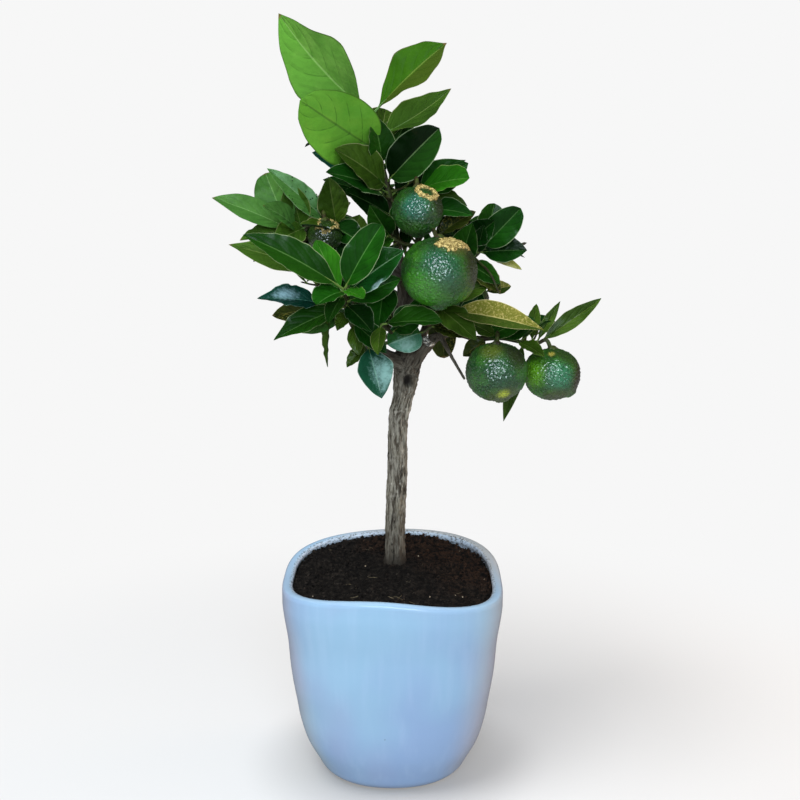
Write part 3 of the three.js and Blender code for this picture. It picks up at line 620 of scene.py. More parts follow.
@dataclass(frozen=True)
class BarkFinish:
    """Grey-brown bark with dark fissures, pale flecks and a darker, browner fork."""

    name: str = "grey_bark"
    ridge: str = "#938f83"
    shade: str = "#40392f"
    patch: str = "#77705f"
    fissure: str = "#18130e"
    fleck: str = "#c9c4b7"
    # Darker height bands: the fork, darker towards the bottom of the trunk, and a painted shade at the foot
    # where the trunk meets the soil.
    bands: tuple[tuple[float, float, float, str], ...] = (
        (0.300, 0.345, 0.75, "#39332a"), (0.225, 0.175, 0.65, "#453f37"), (0.182, 0.170, 0.92, "#28231d"),
    )

    def material(self) -> Material:
        """Builds the bark, whose grain follows each limb, with a darker fork and base, painted shade at the
        foot and painted shade in the knot hole.
        """
        sheet = NodeSheet(self.name, 0.82, 0.3)
        grain = sheet.attribute("grain", "Vector")
        point = sheet.point
        strands = sheet.noise(grain, 560, 5, 0.66, 0.4)
        sheet.lay(sheet.step(strands, 0.39, 0.63), self.ridge, self.shade)
        sheet.lay(sheet.step(sheet.noise(point, 95, 3), 0.45, 0.75, 0, 0.5), self.patch)
        flecks = sheet.times(sheet.step(sheet.noise(grain, 900, 3), 0.6, 0.72),
                             sheet.step(sheet.noise(point, 160, 2), 0.45, 0.62))
        sheet.lay(sheet.times(flecks, 0.85), self.fleck)
        height = sheet.apart(point)[2]
        for start, full, share, colour in self.bands:
            sheet.lay(sheet.step(height, start, full, 0, share), colour)
        cracks = sheet.step(sheet.noise(grain, 260, 4, 0.6, 0.8), 0.43, 0.34)
        sheet.lay(sheet.times(cracks, 0.85), self.fissure)
        # Painted shade: the knot hole is darkened by how deep it lies.
        sheet.lay(sheet.attribute("sunk"), self.fissure)
        sheet.lay(sheet.attribute("pale"), self.fleck)
        sheet.bump(strands, 0.0007, 0.8)
        sheet.bump(sheet.times(cracks, -1.0), 0.0006, 0.8)
        sheet.bump(sheet.noise(point, 1500, 3), 0.00018, 0.6)
        return sheet.material


@dataclass(frozen=True)
class TwigFinish:
    """Young shoots: green skin that turns brown in streaks."""

    name: str
    green: str
    brown: str
    share: Pair = (0.4, 0.6)

    SHADED = "#1c1d10"

    def material(self) -> Material:
        """Builds the skin of the shoots."""
        sheet = NodeSheet(self.name, 0.55, 0.4)
        streaks = sheet.noise(sheet.point, 150, 4, 0.6)
        sheet.lay(sheet.step(streaks, *self.share), self.brown, self.green)
        sheet.lay(sheet.times(sheet.attribute("shade"), 0.4), self.SHADED)
        sheet.bump(sheet.noise(sheet.point, 900, 3), 0.0003, 0.6)
        return sheet.material


@dataclass(frozen=True)
class PaintedSheen:
    """A painted sheen: a soft, milky reflection painted on one part of a blade: its middle across and
    along, and its reach.
    """

    across: float
    along: float
    reach: float
    colour: str
    share: float

    def lay_on(self, sheet: NodeSheet, signed: Feed, along: Feed) -> None:
        """Lays the broken painted sheen over the colour so far."""
        wide = sheet.times(sheet.math("SUBTRACT", signed, self.across), 0.45)
        far = sheet.math("SUBTRACT", along, self.along)
        away = sheet.math("SQRT", sheet.math("ADD", sheet.times(wide, wide), sheet.times(far, far)))
        ragged = sheet.scaled(sheet.noise(sheet.point, 300, 4, 0.7), 1.6, -0.8)
        edge = sheet.math("ADD", away, sheet.times(ragged, self.reach))
        sheet.lay(sheet.step(edge, self.reach, 0.0, 0, self.share), self.colour)


@dataclass(frozen=True)
class LeafFinish:
    """One side of a leaf: two near shades, its veins, its margin and its gloss, with painted light and
    shade on one half of some and a painted sheen on others.
    """

    light: str
    dark: str
    vein: str
    rib: str
    margin: str
    roughness: float = 0.4
    coat: float = 0.12
    vein_share: float = 0.3
    margin_share: float = 0.6
    specks: float = 0.0
    # half is painted light and shade: a colour laid on one half of the blade, darker on some tones and
    # lighter on others, as light falls on a folded leaf.
    half: str | None = None
    painted_half_share: float = 0.85
    painted_sheen: PaintedSheen | None = None
    dry: float = 0.0
    mottle_and_glints: str | None = None

    VEINS = 6.0
    SWEEP = 0.36
    RIB_SHARE = 0.55
    DRY_TIP, SPECK = "#6a5530", "#0d120a"

    def material(self, name: str) -> Material:
        """Builds the leaf's skin from its place across and along the blade."""
        sheet = NodeSheet(name, self.roughness, 0.08)
        across, along, _ = sheet.apart(sheet.add("UVMap", "UV", {}, uv_map="blade"))
        signed = sheet.scaled(across, 2.0, -1.0)
        side = sheet.math("ABSOLUTE", signed)
        cloud = sheet.noise(sheet.point, 70, 3)
        share = sheet.math("ADD", sheet.times(sheet.attribute("shade"), 0.5),
                           sheet.scaled(cloud, 1.6, -0.55))
        # Painted shade: every blade is a little lighter on one half and darker on the other, as light falls
        # on a folded leaf.
        share = sheet.math("ADD", share, sheet.step(signed, -0.04, 0.04, -0.22, 0.18))
        sheet.lay(sheet.step(share, 0.0, 1.0), self.light, self.dark)
        # Painted light and shade on one half of the blade.
        if self.half is not None:
            sheet.lay(sheet.times(sheet.step(signed, 0.0, 0.1), self.painted_half_share), self.half)
        near, inner = self.lay_veins(sheet, side, along)
        # Mottled specks, heavier on one half: the dark olive leaf's own mottle, and painted gold highlights
        # on the warm-lit tan leaf.
        if self.mottle_and_glints is not None:
            grain = sheet.step(sheet.noise(sheet.point, 620, 4, 0.7), 0.5, 0.62)
            sheet.lay(sheet.times(grain, sheet.step(signed, 0.05, -0.05, 0.1, 0.75)), self.mottle_and_glints)
        # Painted sheen: a milky reflection on part of the blade.
        if self.painted_sheen is not None:
            self.painted_sheen.lay_on(sheet, signed, along)
        rib = sheet.step(side, 0.045, 0.015)
        sheet.lay(sheet.times(rib, self.RIB_SHARE), self.rib)
        if self.dry:
            crisp = sheet.step(sheet.scaled(cloud, 0.06, along), 0.985, 1.01, 0, self.dry)
            sheet.lay(crisp, self.DRY_TIP)
        sheet.lay(sheet.times(sheet.step(side, 0.945, 0.985), self.margin_share), self.margin)
        if self.specks:
            dots = sheet.step(sheet.cells(sheet.point, 330), 0.24, 0.15)
            few = sheet.step(sheet.noise(sheet.point, 110, 3), 0.45, 0.55)
            sheet.lay(sheet.times(sheet.times(dots, few), self.specks), self.SPECK)
        sheet.coat(self.coat, 0.2)
        sheet.bump(sheet.times(sheet.step(near, 0.0, 0.3), inner), 0.0005, 0.6)
        sheet.bump(sheet.noise(sheet.point, 170, 2), 0.0016, 0.5)
        sheet.bump(rib, -0.0004, 0.6)
        sheet.bump(sheet.noise(sheet.point, 900, 3), 0.00012, 0.6)
        return sheet.material

    def lay_veins(self, sheet: NodeSheet, side: Feed, along: Feed) -> tuple[Socket, Socket]:
        """Lays the side veins, and returns how near one is and how far inside the blade."""
        swept = sheet.times(sheet.math("POWER", side, 1.25), self.SWEEP)
        order = sheet.times(sheet.math("SUBTRACT", along, swept), self.VEINS)
        near = sheet.math("ABSOLUTE", sheet.math("SUBTRACT", sheet.math("FRACT", order), 0.5))
        inner = sheet.step(side, 0.92, 0.6)
        faint = sheet.times(inner, sheet.step(sheet.noise(sheet.point, 120, 2), 0.3, 0.6))
        lines = sheet.times(sheet.step(near, 0.055, 0.012), faint)
        sheet.lay(sheet.times(lines, self.vein_share), self.vein)
        return near, inner


@dataclass(frozen=True)
class LightAndTintPatch:
    """A tinted patch of rind round a direction from the fruit's middle; on these limes most patches are
    painted light and shade.
    """

    towards: Point
    inner: float
    outer: float
    colour: str
    share: float
    rough: float = 0.2

    def lay_on(self, sheet: NodeSheet, ball: Feed) -> None:
        """Lays the ragged patch over the colour so far."""
        centre = tuple(Vector(self.towards).normalized())
        away = sheet.add("VectorMath", "Value", {0: ball, 1: centre}, operation="DISTANCE")
        ragged = sheet.scaled(sheet.noise(sheet.point, 230, 5, 0.65), self.rough, -self.rough / 2)
        away = sheet.math("ADD", away, ragged)
        sheet.lay(sheet.step(away, self.outer, self.inner, 0, self.share), self.colour)


@dataclass(frozen=True)
class RindFinish:
    """Pitted, waxy rind with tinted patches, most of them painted light and shade."""

    light: str
    dark: str
    light_and_tint_patches: tuple[LightAndTintPatch, ...] = ()

    PITS = 620
    PIT = "#7fae3c"

    def material(self, name: str, centre: Vector, radius: float) -> Material:
        """Builds the rind of one fruit.

        Args:
            name: the material's name.
            centre: the fruit's middle in millimetres.
            radius: its radius in millimetres.

        Returns:
            The material.
        """
        sheet = NodeSheet(name, 0.33, 0.5)
        unit = 1 / (radius * MM)
        ball = sheet.placed((unit, unit, unit), tuple(centre * MM))
        cloud = sheet.noise(ball, 1.6, 4, 0.6)
        sheet.lay(sheet.step(cloud, 0.36, 0.64), self.light, self.dark)
        pits = sheet.cells(sheet.point, self.PITS)
        sheet.lay(sheet.step(pits, 0.3, 0.1, 0, 0.22), self.PIT)
        # Tinted patches, most of them painted light and shade on the rind.
        for light_and_tint in self.light_and_tint_patches:
            light_and_tint.lay_on(sheet, ball)
        sheet.coat(1.0, 0.25)
        sheet.set("Coat IOR", 1.9)
        sheet.bump(sheet.step(pits, 0.1, 0.6), 0.0010, 0.9)
        sheet.bump(sheet.noise(sheet.point, 420, 4, 0.6), 0.0011, 0.8)
        return sheet.material


# Pot and soil

@dataclass
class Pot:
    """A glazed pot, a rounded square in plan with a waving rim."""

    half_width: float = 89.5
    wall: float = 6.5
    floor: float = 9
    squareness: float = 3.0
    foot_squareness: float = 2.2
    rim_height: float = 167.5
    rim_wave: float = 5
    rim_wave_turn: float = 10
    rim_tip: float = 3
    rim_tip_facing: float = 290
    rim_round: float = 3.2
    swell: Point = (2.3, 258, 34)
    lip_wall: float = 8.6
    foot_ring: float = 5
    foot_hollow: float = 2.5
    sides: int = 160
    levels: int = 64
    below_lip: float = 0.975
    lip_steps: int = 10
    lip_drops: tuple[float, ...] = (4.0, 5.2, 6.6, 8.2)
    lip_flatness: float = 0.7
    lip_depth: float = 3.6
    lip_spread: Pair = (4.6, 1.5)
    inner_shares: tuple[float, ...] = (0.9, 0.85, 0.78, 0.7, 0.6, 0.5, 0.4, 0.3, 0.2)
    profile: tuple[Pair, ...] = (
        (0, 0.56), (0.012, 0.62), (0.04, 0.675), (0.085, 0.717), (0.19, 0.808), (0.3, 0.861),
        (0.405, 0.89), (0.57, 0.933), (0.72, 0.955), (0.83, 0.984), (0.9, 1.0),
    )
    outside: GlazeFinish = GlazeFinish("blue_glaze", "#8ba6cb", "#90b5d1", "#959fc4", "#a3c3de", "#d3d2cf")
    inside: GlazeFinish = GlazeFinish("inner_glaze", "#b9c8dc", "#c2d1e0", "#bcbcca", "#a5c3dc",
                                      "#cfccc6", 0.75)
    clay: GrainFinish = clay("fired_clay")

    def rim_at(self, turn: float) -> float:
        """Returns the height of the rim round the plan: two waves and a slight tip."""
        wave = self.rim_wave * cos(2 * (turn + self.rim_wave_turn * DEGREE))
        rise, facing, spread = self.swell
        away = remainder(turn - facing * DEGREE, 2 * pi) / (spread * DEGREE)
        return (self.rim_height - wave + rise * exp(-away * away)
                - self.rim_tip * cos(turn - self.rim_tip_facing * DEGREE))

    def reach(self, half_width: float, squareness: float, turn: float) -> float:
        """Returns the distance from the axis to a rounded square, round the plan."""
        total = abs(cos(turn)) ** squareness + abs(sin(turn)) ** squareness
        return half_width / total ** (1 / squareness)

    def squareness_at(self, height_share: float) -> float:
        """Returns how square the plan is at a share of the rim's height."""
        return mix(self.foot_squareness, self.squareness, min(1, height_share * 2))

    def ring(self, height_share: float, half_width: float, drop: float = 0, sides: int = 0) -> np.ndarray:
        """Works out one ring of the pot, or of what fills it.

        Args:
            height_share: its height as a share of the rim's.
            half_width: half the width there.
            drop: how far it hangs below that height.
            sides: how many corners it has, where it isn't as many as the pot's.

        Returns:
            The corners in millimetres.
        """
        sides = sides or self.sides
        corners = []
        for k in range(sides):
            turn = 2 * pi * k / sides
            radius = self.reach(half_width, self.squareness_at(height_share), turn)
            top = mix(self.rim_height, self.rim_at(turn), height_share**2)
            corners.append((radius * cos(turn), radius * sin(turn), height_share * top - drop))
        return np.array(corners)

    def width_at(self, height_share: float) -> float:
        """Returns half the outside width at a share of the rim's height, as a smooth curve."""
        if height_share >= self.profile[-1][0]:
            return self.half_width
        line = Line.through((height, width, 0) for height, width in self.profile)
        low, high = 0.0, 1.0
        for _ in range(24):
            middle = (low + high) / 2
            if line.at(middle).x < height_share:
                low = middle
            else:
                high = middle
        return min(line.at(low).y, 1.0) * self.half_width

    def outer_rings(self) -> Rings:
        """Works out the outside from the foot up to the lip."""
        shares = [(k / self.levels) ** 1.5 * self.below_lip for k in range(self.levels + 1)]
        return [self.ring(share, self.width_at(share)) for share in shares]

    def lip_rings(self) -> Rings:
        """Works out the lip from the outside to the inside: nearly flat, with round corners."""
        turns = [pi * k / self.lip_steps for k in range(1, self.lip_steps)]
        return [self.ring(1, self.half_width - self.lip_wall / 2 * (1 - cos(turn)),
                          self.rim_round * (1 - sin(turn) ** self.lip_flatness)) for turn in turns]

    def inner_rings(self) -> Rings:
        """Works out the inside wall from the lip down to the floor."""
        rings = []
        for drop in self.lip_drops:
            wall = mix(self.lip_wall, self.wall, smooth(3.0, 8.2, drop))
            rings.append(self.ring(1, self.half_width - wall, drop))
        shares = (*self.inner_shares, self.floor / self.rim_height)
        return rings + [self.ring(share, self.width_at(share) - self.wall) for share in shares]

    def foot_rings(self) -> Rings:
        """Works out the underside: a foot ring round a shallow hollow."""
        foot = self.profile[0][1] * self.half_width
        rows = ((foot * 0.5, self.foot_hollow), (foot - self.foot_ring - 1.5, self.foot_hollow),
                (foot - self.foot_ring, 0.6), (foot - self.foot_ring + 0.8, 0.0))
        return [self.ring(0, half_width, -height) for half_width, height in rows]

    def make(self) -> bpy.types.Object:
        """Builds and dresses the pot."""
        bm = bmesh.new()
        rings = (self.foot_rings(), self.outer_rings(), self.lip_rings(), self.inner_rings())
        loft(bm, sum(rings, []), (0, 0, self.foot_hollow), (0, 0, self.floor))
        bm.verts.ensure_lookup_table()
        for face in bm.faces:
            face.material_index = self.look_of(face)
        piece = finished("glazed_pot", bm, [finish.material() for finish in
                                            (self.outside, self.inside, self.clay)], 50)
        give_numbers(piece.data, "lip", [self.lip_share(v.co) for v in piece.data.vertices])
        return hand_over(piece, "glaze", "pot")

    def look_of(self, face: bmesh.types.BMFace) -> int:
        """Returns the finish of a face: outside, inside or bare foot."""
        middle = face.calc_center_median() / MM
        if middle.z < 0.3 or (middle.z < self.foot_hollow + 0.2 and face.normal.z < -0.9):
            return 2
        turn = atan2(middle.y, middle.x)
        share = min(middle.z / self.rim_height, 1)
        half_width = self.width_at(share) - self.wall * 0.8
        skin = self.reach(half_width, self.squareness_at(share), turn)
        return 1 if hypot(middle.x, middle.y) < skin else 0

    def lip_share(self, corner: Vector) -> float:
        """Returns how near a corner is to the crest of the lip, from 0 to 1."""
        place = corner / MM
        turn = atan2(place.y, place.x)
        crest = self.half_width - self.lip_wall * 0.5
        away = abs(hypot(place.x, place.y) - self.reach(crest, self.squareness, turn))
        return (smooth(self.lip_depth, 0.2, self.rim_at(turn) - place.z)
                * mix(0.55, 1, smooth(*self.lip_spread, away)))


@dataclass
class Soil:
    """Crumbly potting soil that fills the pot and rises a little to the trunk."""

    pot: Pot
    top: float = 166.4
    below_rim: float = 7.5
    flat_radius: float = 17
    gap: float = 0.6
    foot: Pair = (1.5, 16)
    sides: int = 300
    rings: int = 84
    mounds: tuple[Point, ...] = ((46, 25, 1.0), (34, 100, 0.9), (29, 160, 0.7))
    mounds_from: float = 0.35
    mounds_at_wall: float = 0.5
    collar: float = 3.4
    collar_reach: Pair = (26, 9)
    lump: Pair = (0.22, 1.9)
    clod: Pair = (0.42, 1.6)
    fine: Pair = (0.9, 0.6)
    edge_dip: float = 2.2
    bank: float = 3.0
    bank_turn: float = 118
    crumbs: int = 2500
    grains: int = 20
    fibre_count: int = 16
    front_fibres: int = 5
    fibre_spot: Pair = (8, -62)
    seed: int = 419
    soil: SoilFinish = SoilFinish("damp_soil", "#110f0e", "#2a2622", "#37251a")
    crumb: SoilFinish = SoilFinish("soil_crumbs", "#151312", "#36302b", "#432d20")
    grain: GrainFinish = clay("pale_grains")
    fibre: TwigFinish = TwigFinish("root_fibres", "#7d7157", "#4f4331")
    levels: tuple[float, ...] = (0.058, 0.2, 0.4, 0.6, 0.8, 0.9)

    def plan(self, share: float, turn: float) -> Pair:
        """Returns the place in plan at a share of the way from the trunk to the wall."""
        reach = self.pot.reach(self.pot.half_width - self.pot.wall - self.gap, self.pot.squareness, turn)
        near = self.flat_radius
        return (mix(self.foot[0] + near * cos(turn), reach * cos(turn), share),
                mix(self.foot[1] + near * sin(turn), reach * sin(turn), share))

    def height(self, share: float, turn: float, x: float, y: float) -> float:
        """Returns the height of the crumbly surface: mounds, a collar at the trunk, and clods."""
        edge = self.pot.rim_at(turn) - self.below_rim
        level = mix(self.top, edge, max(share, 0) ** 2)
        fade = min(max(share, 0) / self.mounds_from, 1) * mix(1, self.mounds_at_wall, share**4)
        for length, heading, rise in self.mounds:
            way = x * cos(heading * DEGREE) + y * sin(heading * DEGREE)
            level += rise * fade * sin(2 * pi * way / length)
        away = hypot(x - self.foot[0], y - self.foot[1])
        level += self.collar * smooth(*self.collar_reach, away)
        level += (self.bank * smooth(0.45, 0.95, share)
                  * smooth(-0.3, 0.8, cos(turn - self.bank_turn * DEGREE)))
        lumps = abs(noise.noise(Vector((x, y, 9)) * self.lump[0])) * self.lump[1] - 0.5
        clods = (0.45 - noise.voronoi(Vector((x, y, 0)) * self.clod[0])[0][0]) * self.clod[1]
        fine = noise.noise(Vector((x, y, 5)) * self.fine[0]) * self.fine[1]
        rough = smooth(-0.4, 0.1, share) * 0.7 + 0.3
        return level + rough * (lumps + clods + fine) - self.edge_dip * smooth(0.955, 1.0, share)

    def surface(self) -> Rings:
        """Works out the rings of the surface from the wall in to the trunk."""
        rings = []
        for i in range(self.rings + 1):
            share = 1 - i / self.rings * 1.16
            ring = []
            for k in range(self.sides):
                turn = 2 * pi * k / self.sides
                x, y = self.plan(share, turn)
                ring.append((x, y, self.height(share, turn, x, y)))
            rings.append(np.array(ring))
        return rings

    def body(self) -> Rings:
        """Works out the hidden sides, from the pot's floor up to the surface."""
        inset = self.pot.wall + self.gap
        return [self.pot.ring(share, self.pot.width_at(share) - inset, 0, self.sides)
                for share in self.levels]

    def make(self) -> None:
        """Builds the soil, its crumbs and its fibres."""
        bm = bmesh.new()
        low = self.pot.floor + self.gap
        loft(bm, [*self.body(), *self.surface()], (0, 0, low), (*self.foot, self.top - 1))
        hand_over(finished("soil_bed", bm, [self.soil.material()], 180), "soil", "soil")
        self.scatter()
        self.fibres()

    def scatter(self) -> None:
        """Strews loose crumbs and pale grains over the surface."""
        draw = Draw(self.seed)
        shape = bmesh.new()
        bmesh.ops.create_icosphere(shape, subdivisions=1, radius=1)
        ball = np.array([tuple(vert.co) for vert in shape.verts])
        faces = [[vert.index for vert in face.verts] for face in shape.faces]
        shape.free()
        sheaf = Sheaf()
        for k in range(self.crumbs + self.grains):
            pale = k >= self.crumbs
            share = sqrt(draw.next()) * (1.0 if pale else 1.03)
            turn = draw.between(0, 2 * pi)
            x, y = self.plan(min(share, 0.985), turn)
            size = draw.between(0.35, 0.7) if pale else 0.5 + 1.5 * draw.next() ** 3
            rise = 2.2 * draw.next() ** 2 if share > 0.97 else size * draw.between(-0.1, 0.6)
            z = self.height(min(share, 1), turn, x, y) + rise
            stretch = np.array([draw.between(0.7, 1.3) for _ in range(3)])
            rough = np.array([[draw.between(0.75, 1.2)] for _ in ball])
            corners = ball * rough * stretch * size + np.array((x, y, z))
            sheaf.add(corners, faces, [int(pale)] * len(faces), [(0, 0)] * (3 * len(faces)), draw.next())
        piece = sheaf.make("soil_crumbs", [self.crumb.material(), self.grain.material()], 40)
        hand_over(piece, "soil")

    def fibres(self) -> None:
        """Lays a few pale root fibres on the surface, most of them near the front."""
        draw = Draw(self.seed + 1)
        sheaf = Sheaf()
        for k in range(self.fibre_count):
            near = k < self.front_fibres
            middle = self.fibre_spot if near else (draw.between(-70, 70), draw.between(-66, 60))
            spread = 7 if near else 2
            x = middle[0] + draw.between(-spread, spread)
            y = middle[1] + draw.between(-spread, spread)
            turn = draw.between(0, 2 * pi)
            length = draw.between(3, 9)
            points = []
            for step in range(4):
                bend = turn + draw.between(-0.5, 0.5)
                points.append((x, y, self.level(x, y) + draw.between(0.5, 2.0)))
                x += cos(bend) * length / 3
                y += sin(bend) * length / 3
            line = Line.through(points)
            sheaf.add_rings(line.rings(6, 3, lambda share: mix(0.22, 0.08, share)), 0, draw.next())
        hand_over(sheaf.make("soil_fibres", [self.fibre.material()]), "soil")

    def level(self, x: float, y: float) -> float:
        """Returns the height of the surface at a place in plan."""
        turn = atan2(y, x)
        reach = self.pot.reach(self.pot.half_width - self.pot.wall, self.pot.squareness, turn)
        share = min(hypot(x, y) / reach, 1)
        return self.height(share, turn, x, y)


# Wood

@dataclass(frozen=True)
class Bough:
    """One tapering limb: its name, its line and its radius at both ends."""

    name: str
    line: tuple[Point, ...]
    radius: Pair
    collar: float = 1.5

    def radius_at(self, share: float) -> float:
        """Returns the radius, flared into a collar where the bough leaves the wood."""
        flare = self.collar * smooth(0.42, 0.05, share)
        return mix(*self.radius, share) + flare


@dataclass
class Wood:
    """The trunk and the boughs as one bark-covered mesh."""

    trunk: tuple[tuple[float, float, float, float], ...] = (
        (1.5, 16, 160, 12.5), (1.5, 16, 166.75, 11.2), (1.7, 16, 170, 9.6), (1.9, 16, 176, 8.5),
        (1.7, 15.5, 193, 8.1), (2.2, 14.5, 210, 8.1), (2.9, 13, 232, 8.1), (3.9, 12, 260, 7.9),
        (4.2, 11, 282, 7.8), (5.4, 10.2, 297, 7.9), (8.6, 9.6, 311, 8.3), (10.4, 9, 323, 9.7),
        (12, 8.5, 335, 10.6), (14, 8, 345, 12.0), (14.5, 8, 351, 10.4), (14.5, 8, 355, 7.4),
    )
    boughs: tuple[Bough, ...] = (
        Bough("leader_bough", ((13, 9, 340), (11, 11, 368), (8, 13, 400), (4, 12, 432)), (6.6, 3.6)),
        Bough("left_bough", ((10, 7, 338), (-8, -5, 349), (-20, -18, 361), (-30, -31, 377)), (5.4, 3.2)),
        Bough("right_bough", ((24, 3, 351), (34, 0, 361), (49, -7, 366), (65, -13, 362)), (4.2, 2.7)),
        Bough("upper_left_bough", ((7, 13, 408), (-10, 9, 424), (-30, 8, 437)), (3.6, 2.5)),
        Bough("upper_right_bough", ((10, 12, 380), (28, 9, 404), (47, 5, 417)), (3.6, 2.4)),
        Bough("back_left_bough", ((10, 12, 372), (-6, 30, 390), (-22, 44, 404)), (3.8, 2.5)),
        Bough("back_right_bough", ((17, 11, 344), (26, 30, 362), (36, 45, 384)), (4.2, 2.6)),
    )
    stub: Bough = Bough("stub", ((15, 5, 338), (22, 0.5, 349), (28.5, -3.5, 358.5)), (6.0, 4.8), 0.0)
    shoot: Bough = Bough("shoot", ((38, -3, 362.5), (47, -15, 347), (56, -28, 333)), (1.7, 1.2), 0.6)
    sides: int = 40
    trunk_steps: int = 64
    voxel: float = 0.62
    hollow: Point = (12.6, -0.6, 326)
    hollow_size: Pair = (4.4, 6.0)
    hollow_depth: float = 3.6
    scars: tuple[Point, ...] = ((300.5, 0.75, 2.4), (262, 0.3, 3), (228, 0.35, 2.5))
    bark: BarkFinish = BarkFinish()
    cut: GrainFinish = CUT_WOOD
    smoothings: int = 4
    lobe: float = 0.05
    ridge: float = 0.95
    fine: float = 0.26
    lump: float = 0.6
    knot_reach: float = 3.4
    grain_pull: float = 0.16
    limb_start: float = 90.0

    def balls(self) -> Balls:
        """Returns the trunk and every bough as a row of balls, to keep leaves out of them."""
        found = [(Vector(place), radius) for *place, radius in self.trunk]
        for bough in self.boughs:
            line = Line.through(bough.line)
            found += [(line.at(k / 12), mix(*bough.radius, k / 12)) for k in range(13)]
        return found

    def trunk_rings(self) -> Rings:
        """Works out level rings up the trunk, slightly lobed like old wood."""
        line = Line.through((x, y, z) for x, y, z, _ in self.trunk)
        widths = Line.through((radius, 0, 0) for *_, radius in self.trunk)
        rings = []
        turns = turns_of(self.sides)
        for share in (i / self.trunk_steps for i in range(self.trunk_steps + 1)):
            level = share * (len(self.trunk) - 1)
            reach = widths.at(share).x * (1 + self.lobe * np.sin(5 * turns + level * 0.4))
            rings.append(ring_at(line.at(share), (1, 0, 0), (0, 1, 0), turns, reach))
        return rings

    def limbs(self) -> list[Line]:
        """Returns the lines of the boughs, the stub and the shoot."""
        return [Line.through(bough.line) for bough in (*self.boughs, self.stub, self.shoot)]

    def joined(self) -> bpy.types.Mesh:
        """Builds every limb as a closed skin and melts them into one."""
        bm = bmesh.new()
        loft(bm, self.trunk_rings())
        for bough, line in zip((*self.boughs, self.stub, self.shoot), self.limbs()):
            loft(bm, line.rings(30, 20, bough.radius_at), None, line.at(1) + line.direction(1) * 0.6)
        mesh = bpy.data.meshes.new("limbs")
        bm.to_mesh(mesh)
        bm.free()
        rough = in_scene("limbs", mesh)
        melt = rough.modifiers.new("melt", "REMESH")
        melt.mode = "VOXEL"
        melt.voxel_size = self.voxel * MM
        graph = bpy.context.evaluated_depsgraph_get()
        melted = bpy.data.meshes.new_from_object(rough.evaluated_get(graph))
        bpy.data.objects.remove(rough)
        return melted

    def limb_samples(self) -> tuple[kdtree.KDTree, list[tuple[Vector, Vector, Vector, float]]]:
        """Returns a finder of the nearest place on any limb, with the limb's frame there."""
        found: list[tuple[Vector, Vector, Vector, float]] = []
        trunk = Line.through((x, y, z) for x, y, z, _ in self.trunk)
        for order, line in enumerate([trunk, *self.limbs()]):
            steps = 160 if order == 0 else 40
            side, length, before = Vector((1, 0, 0)), self.limb_start * order, line.at(0)
            for share in (i / steps for i in range(steps + 1)):
                place, direction = line.at(share), line.direction(share)
                side = square_to(side, direction)
                length += (place - before).length
                before = place
                found.append((place, side, direction.cross(side), length))
        return finder_of([place for place, *_ in found]), found

    def grain_at(self, place: Vector, finder: kdtree.KDTree,
                 found: list[tuple[Vector, Vector, Vector, float]]) -> Vector:
        """Returns a place across and along the nearest limbs, eased from one to the next."""
        total, weight = Vector((0, 0, 0)), 0.0
        for _, index, away in finder.find_n(place, 3):
            middle, side, other, length = found[index]
            out = place - middle
            share = 1 / (away * away + 0.5)
            along = length + out.dot(side.cross(other))
            total += Vector((out.dot(side), out.dot(other), along * self.grain_pull)) * share
            weight += share
        return total / weight

    def relief(self, place: Vector, grain: Vector) -> Point:
        """Works out the bark's relief at one place.

        Args:
            place: the place in millimetres.
            grain: the same place across and along the limb.

        Returns:
            How far the bark stands out, how sunk and how pale it is.
        """
        ridges = abs(noise.noise(grain * Vector((0.6, 0.6, 0.9)))) * self.ridge - 0.25
        fine = noise.noise(grain * Vector((1.7, 1.7, 2.2)) + Vector((7, 3, 1))) * self.fine
        lumps = noise.noise(Vector((grain.x, grain.y, grain.z * 2)) * 0.16) * self.lump
        small = smooth(1.5, 7, hypot(grain.x, grain.y))
        height = (ridges + fine) * (0.3 + 0.7 * small) + lumps * small
        pale = 0.0
        for level, rise, wide in self.scars:
            band = exp(-(((place.z - level + noise.noise(place * 0.2) * 2) / wide) ** 2))
            height += rise * band
            pale = max(pale, band * rise * 0.55 * smooth(-0.15, 0.35, noise.noise(place * 0.45)))
        sunk, lift = self.knot(place)
        return height - self.hollow_depth * sunk + lift, sunk, pale

    def knot(self, place: Vector) -> Pair:
        """Returns how deep a place lies in the knot hole, and the swirl of bark round it."""
        across = hypot(place.x - self.hollow[0], (place.y - self.hollow[1]) * 0.6)
        up = place.z - self.hollow[2]
        away = hypot(across / self.hollow_size[0], up / self.hollow_size[1])
        if away > self.knot_reach or place.y > self.hollow[1] + 8:
            return 0.0, 0.0
        wobble = noise.noise(place * 0.35) * 0.25
        sunk = smooth(1.05, 0.45, away + wobble)
        lip = exp(-(((away + wobble - 1.3) / 0.3) ** 2)) * 0.8
        swirl = sin((away + wobble) * 8.5) * 0.55 * smooth(self.knot_reach, 1.5, away)
        return sunk, lip + swirl * (1 - sunk)

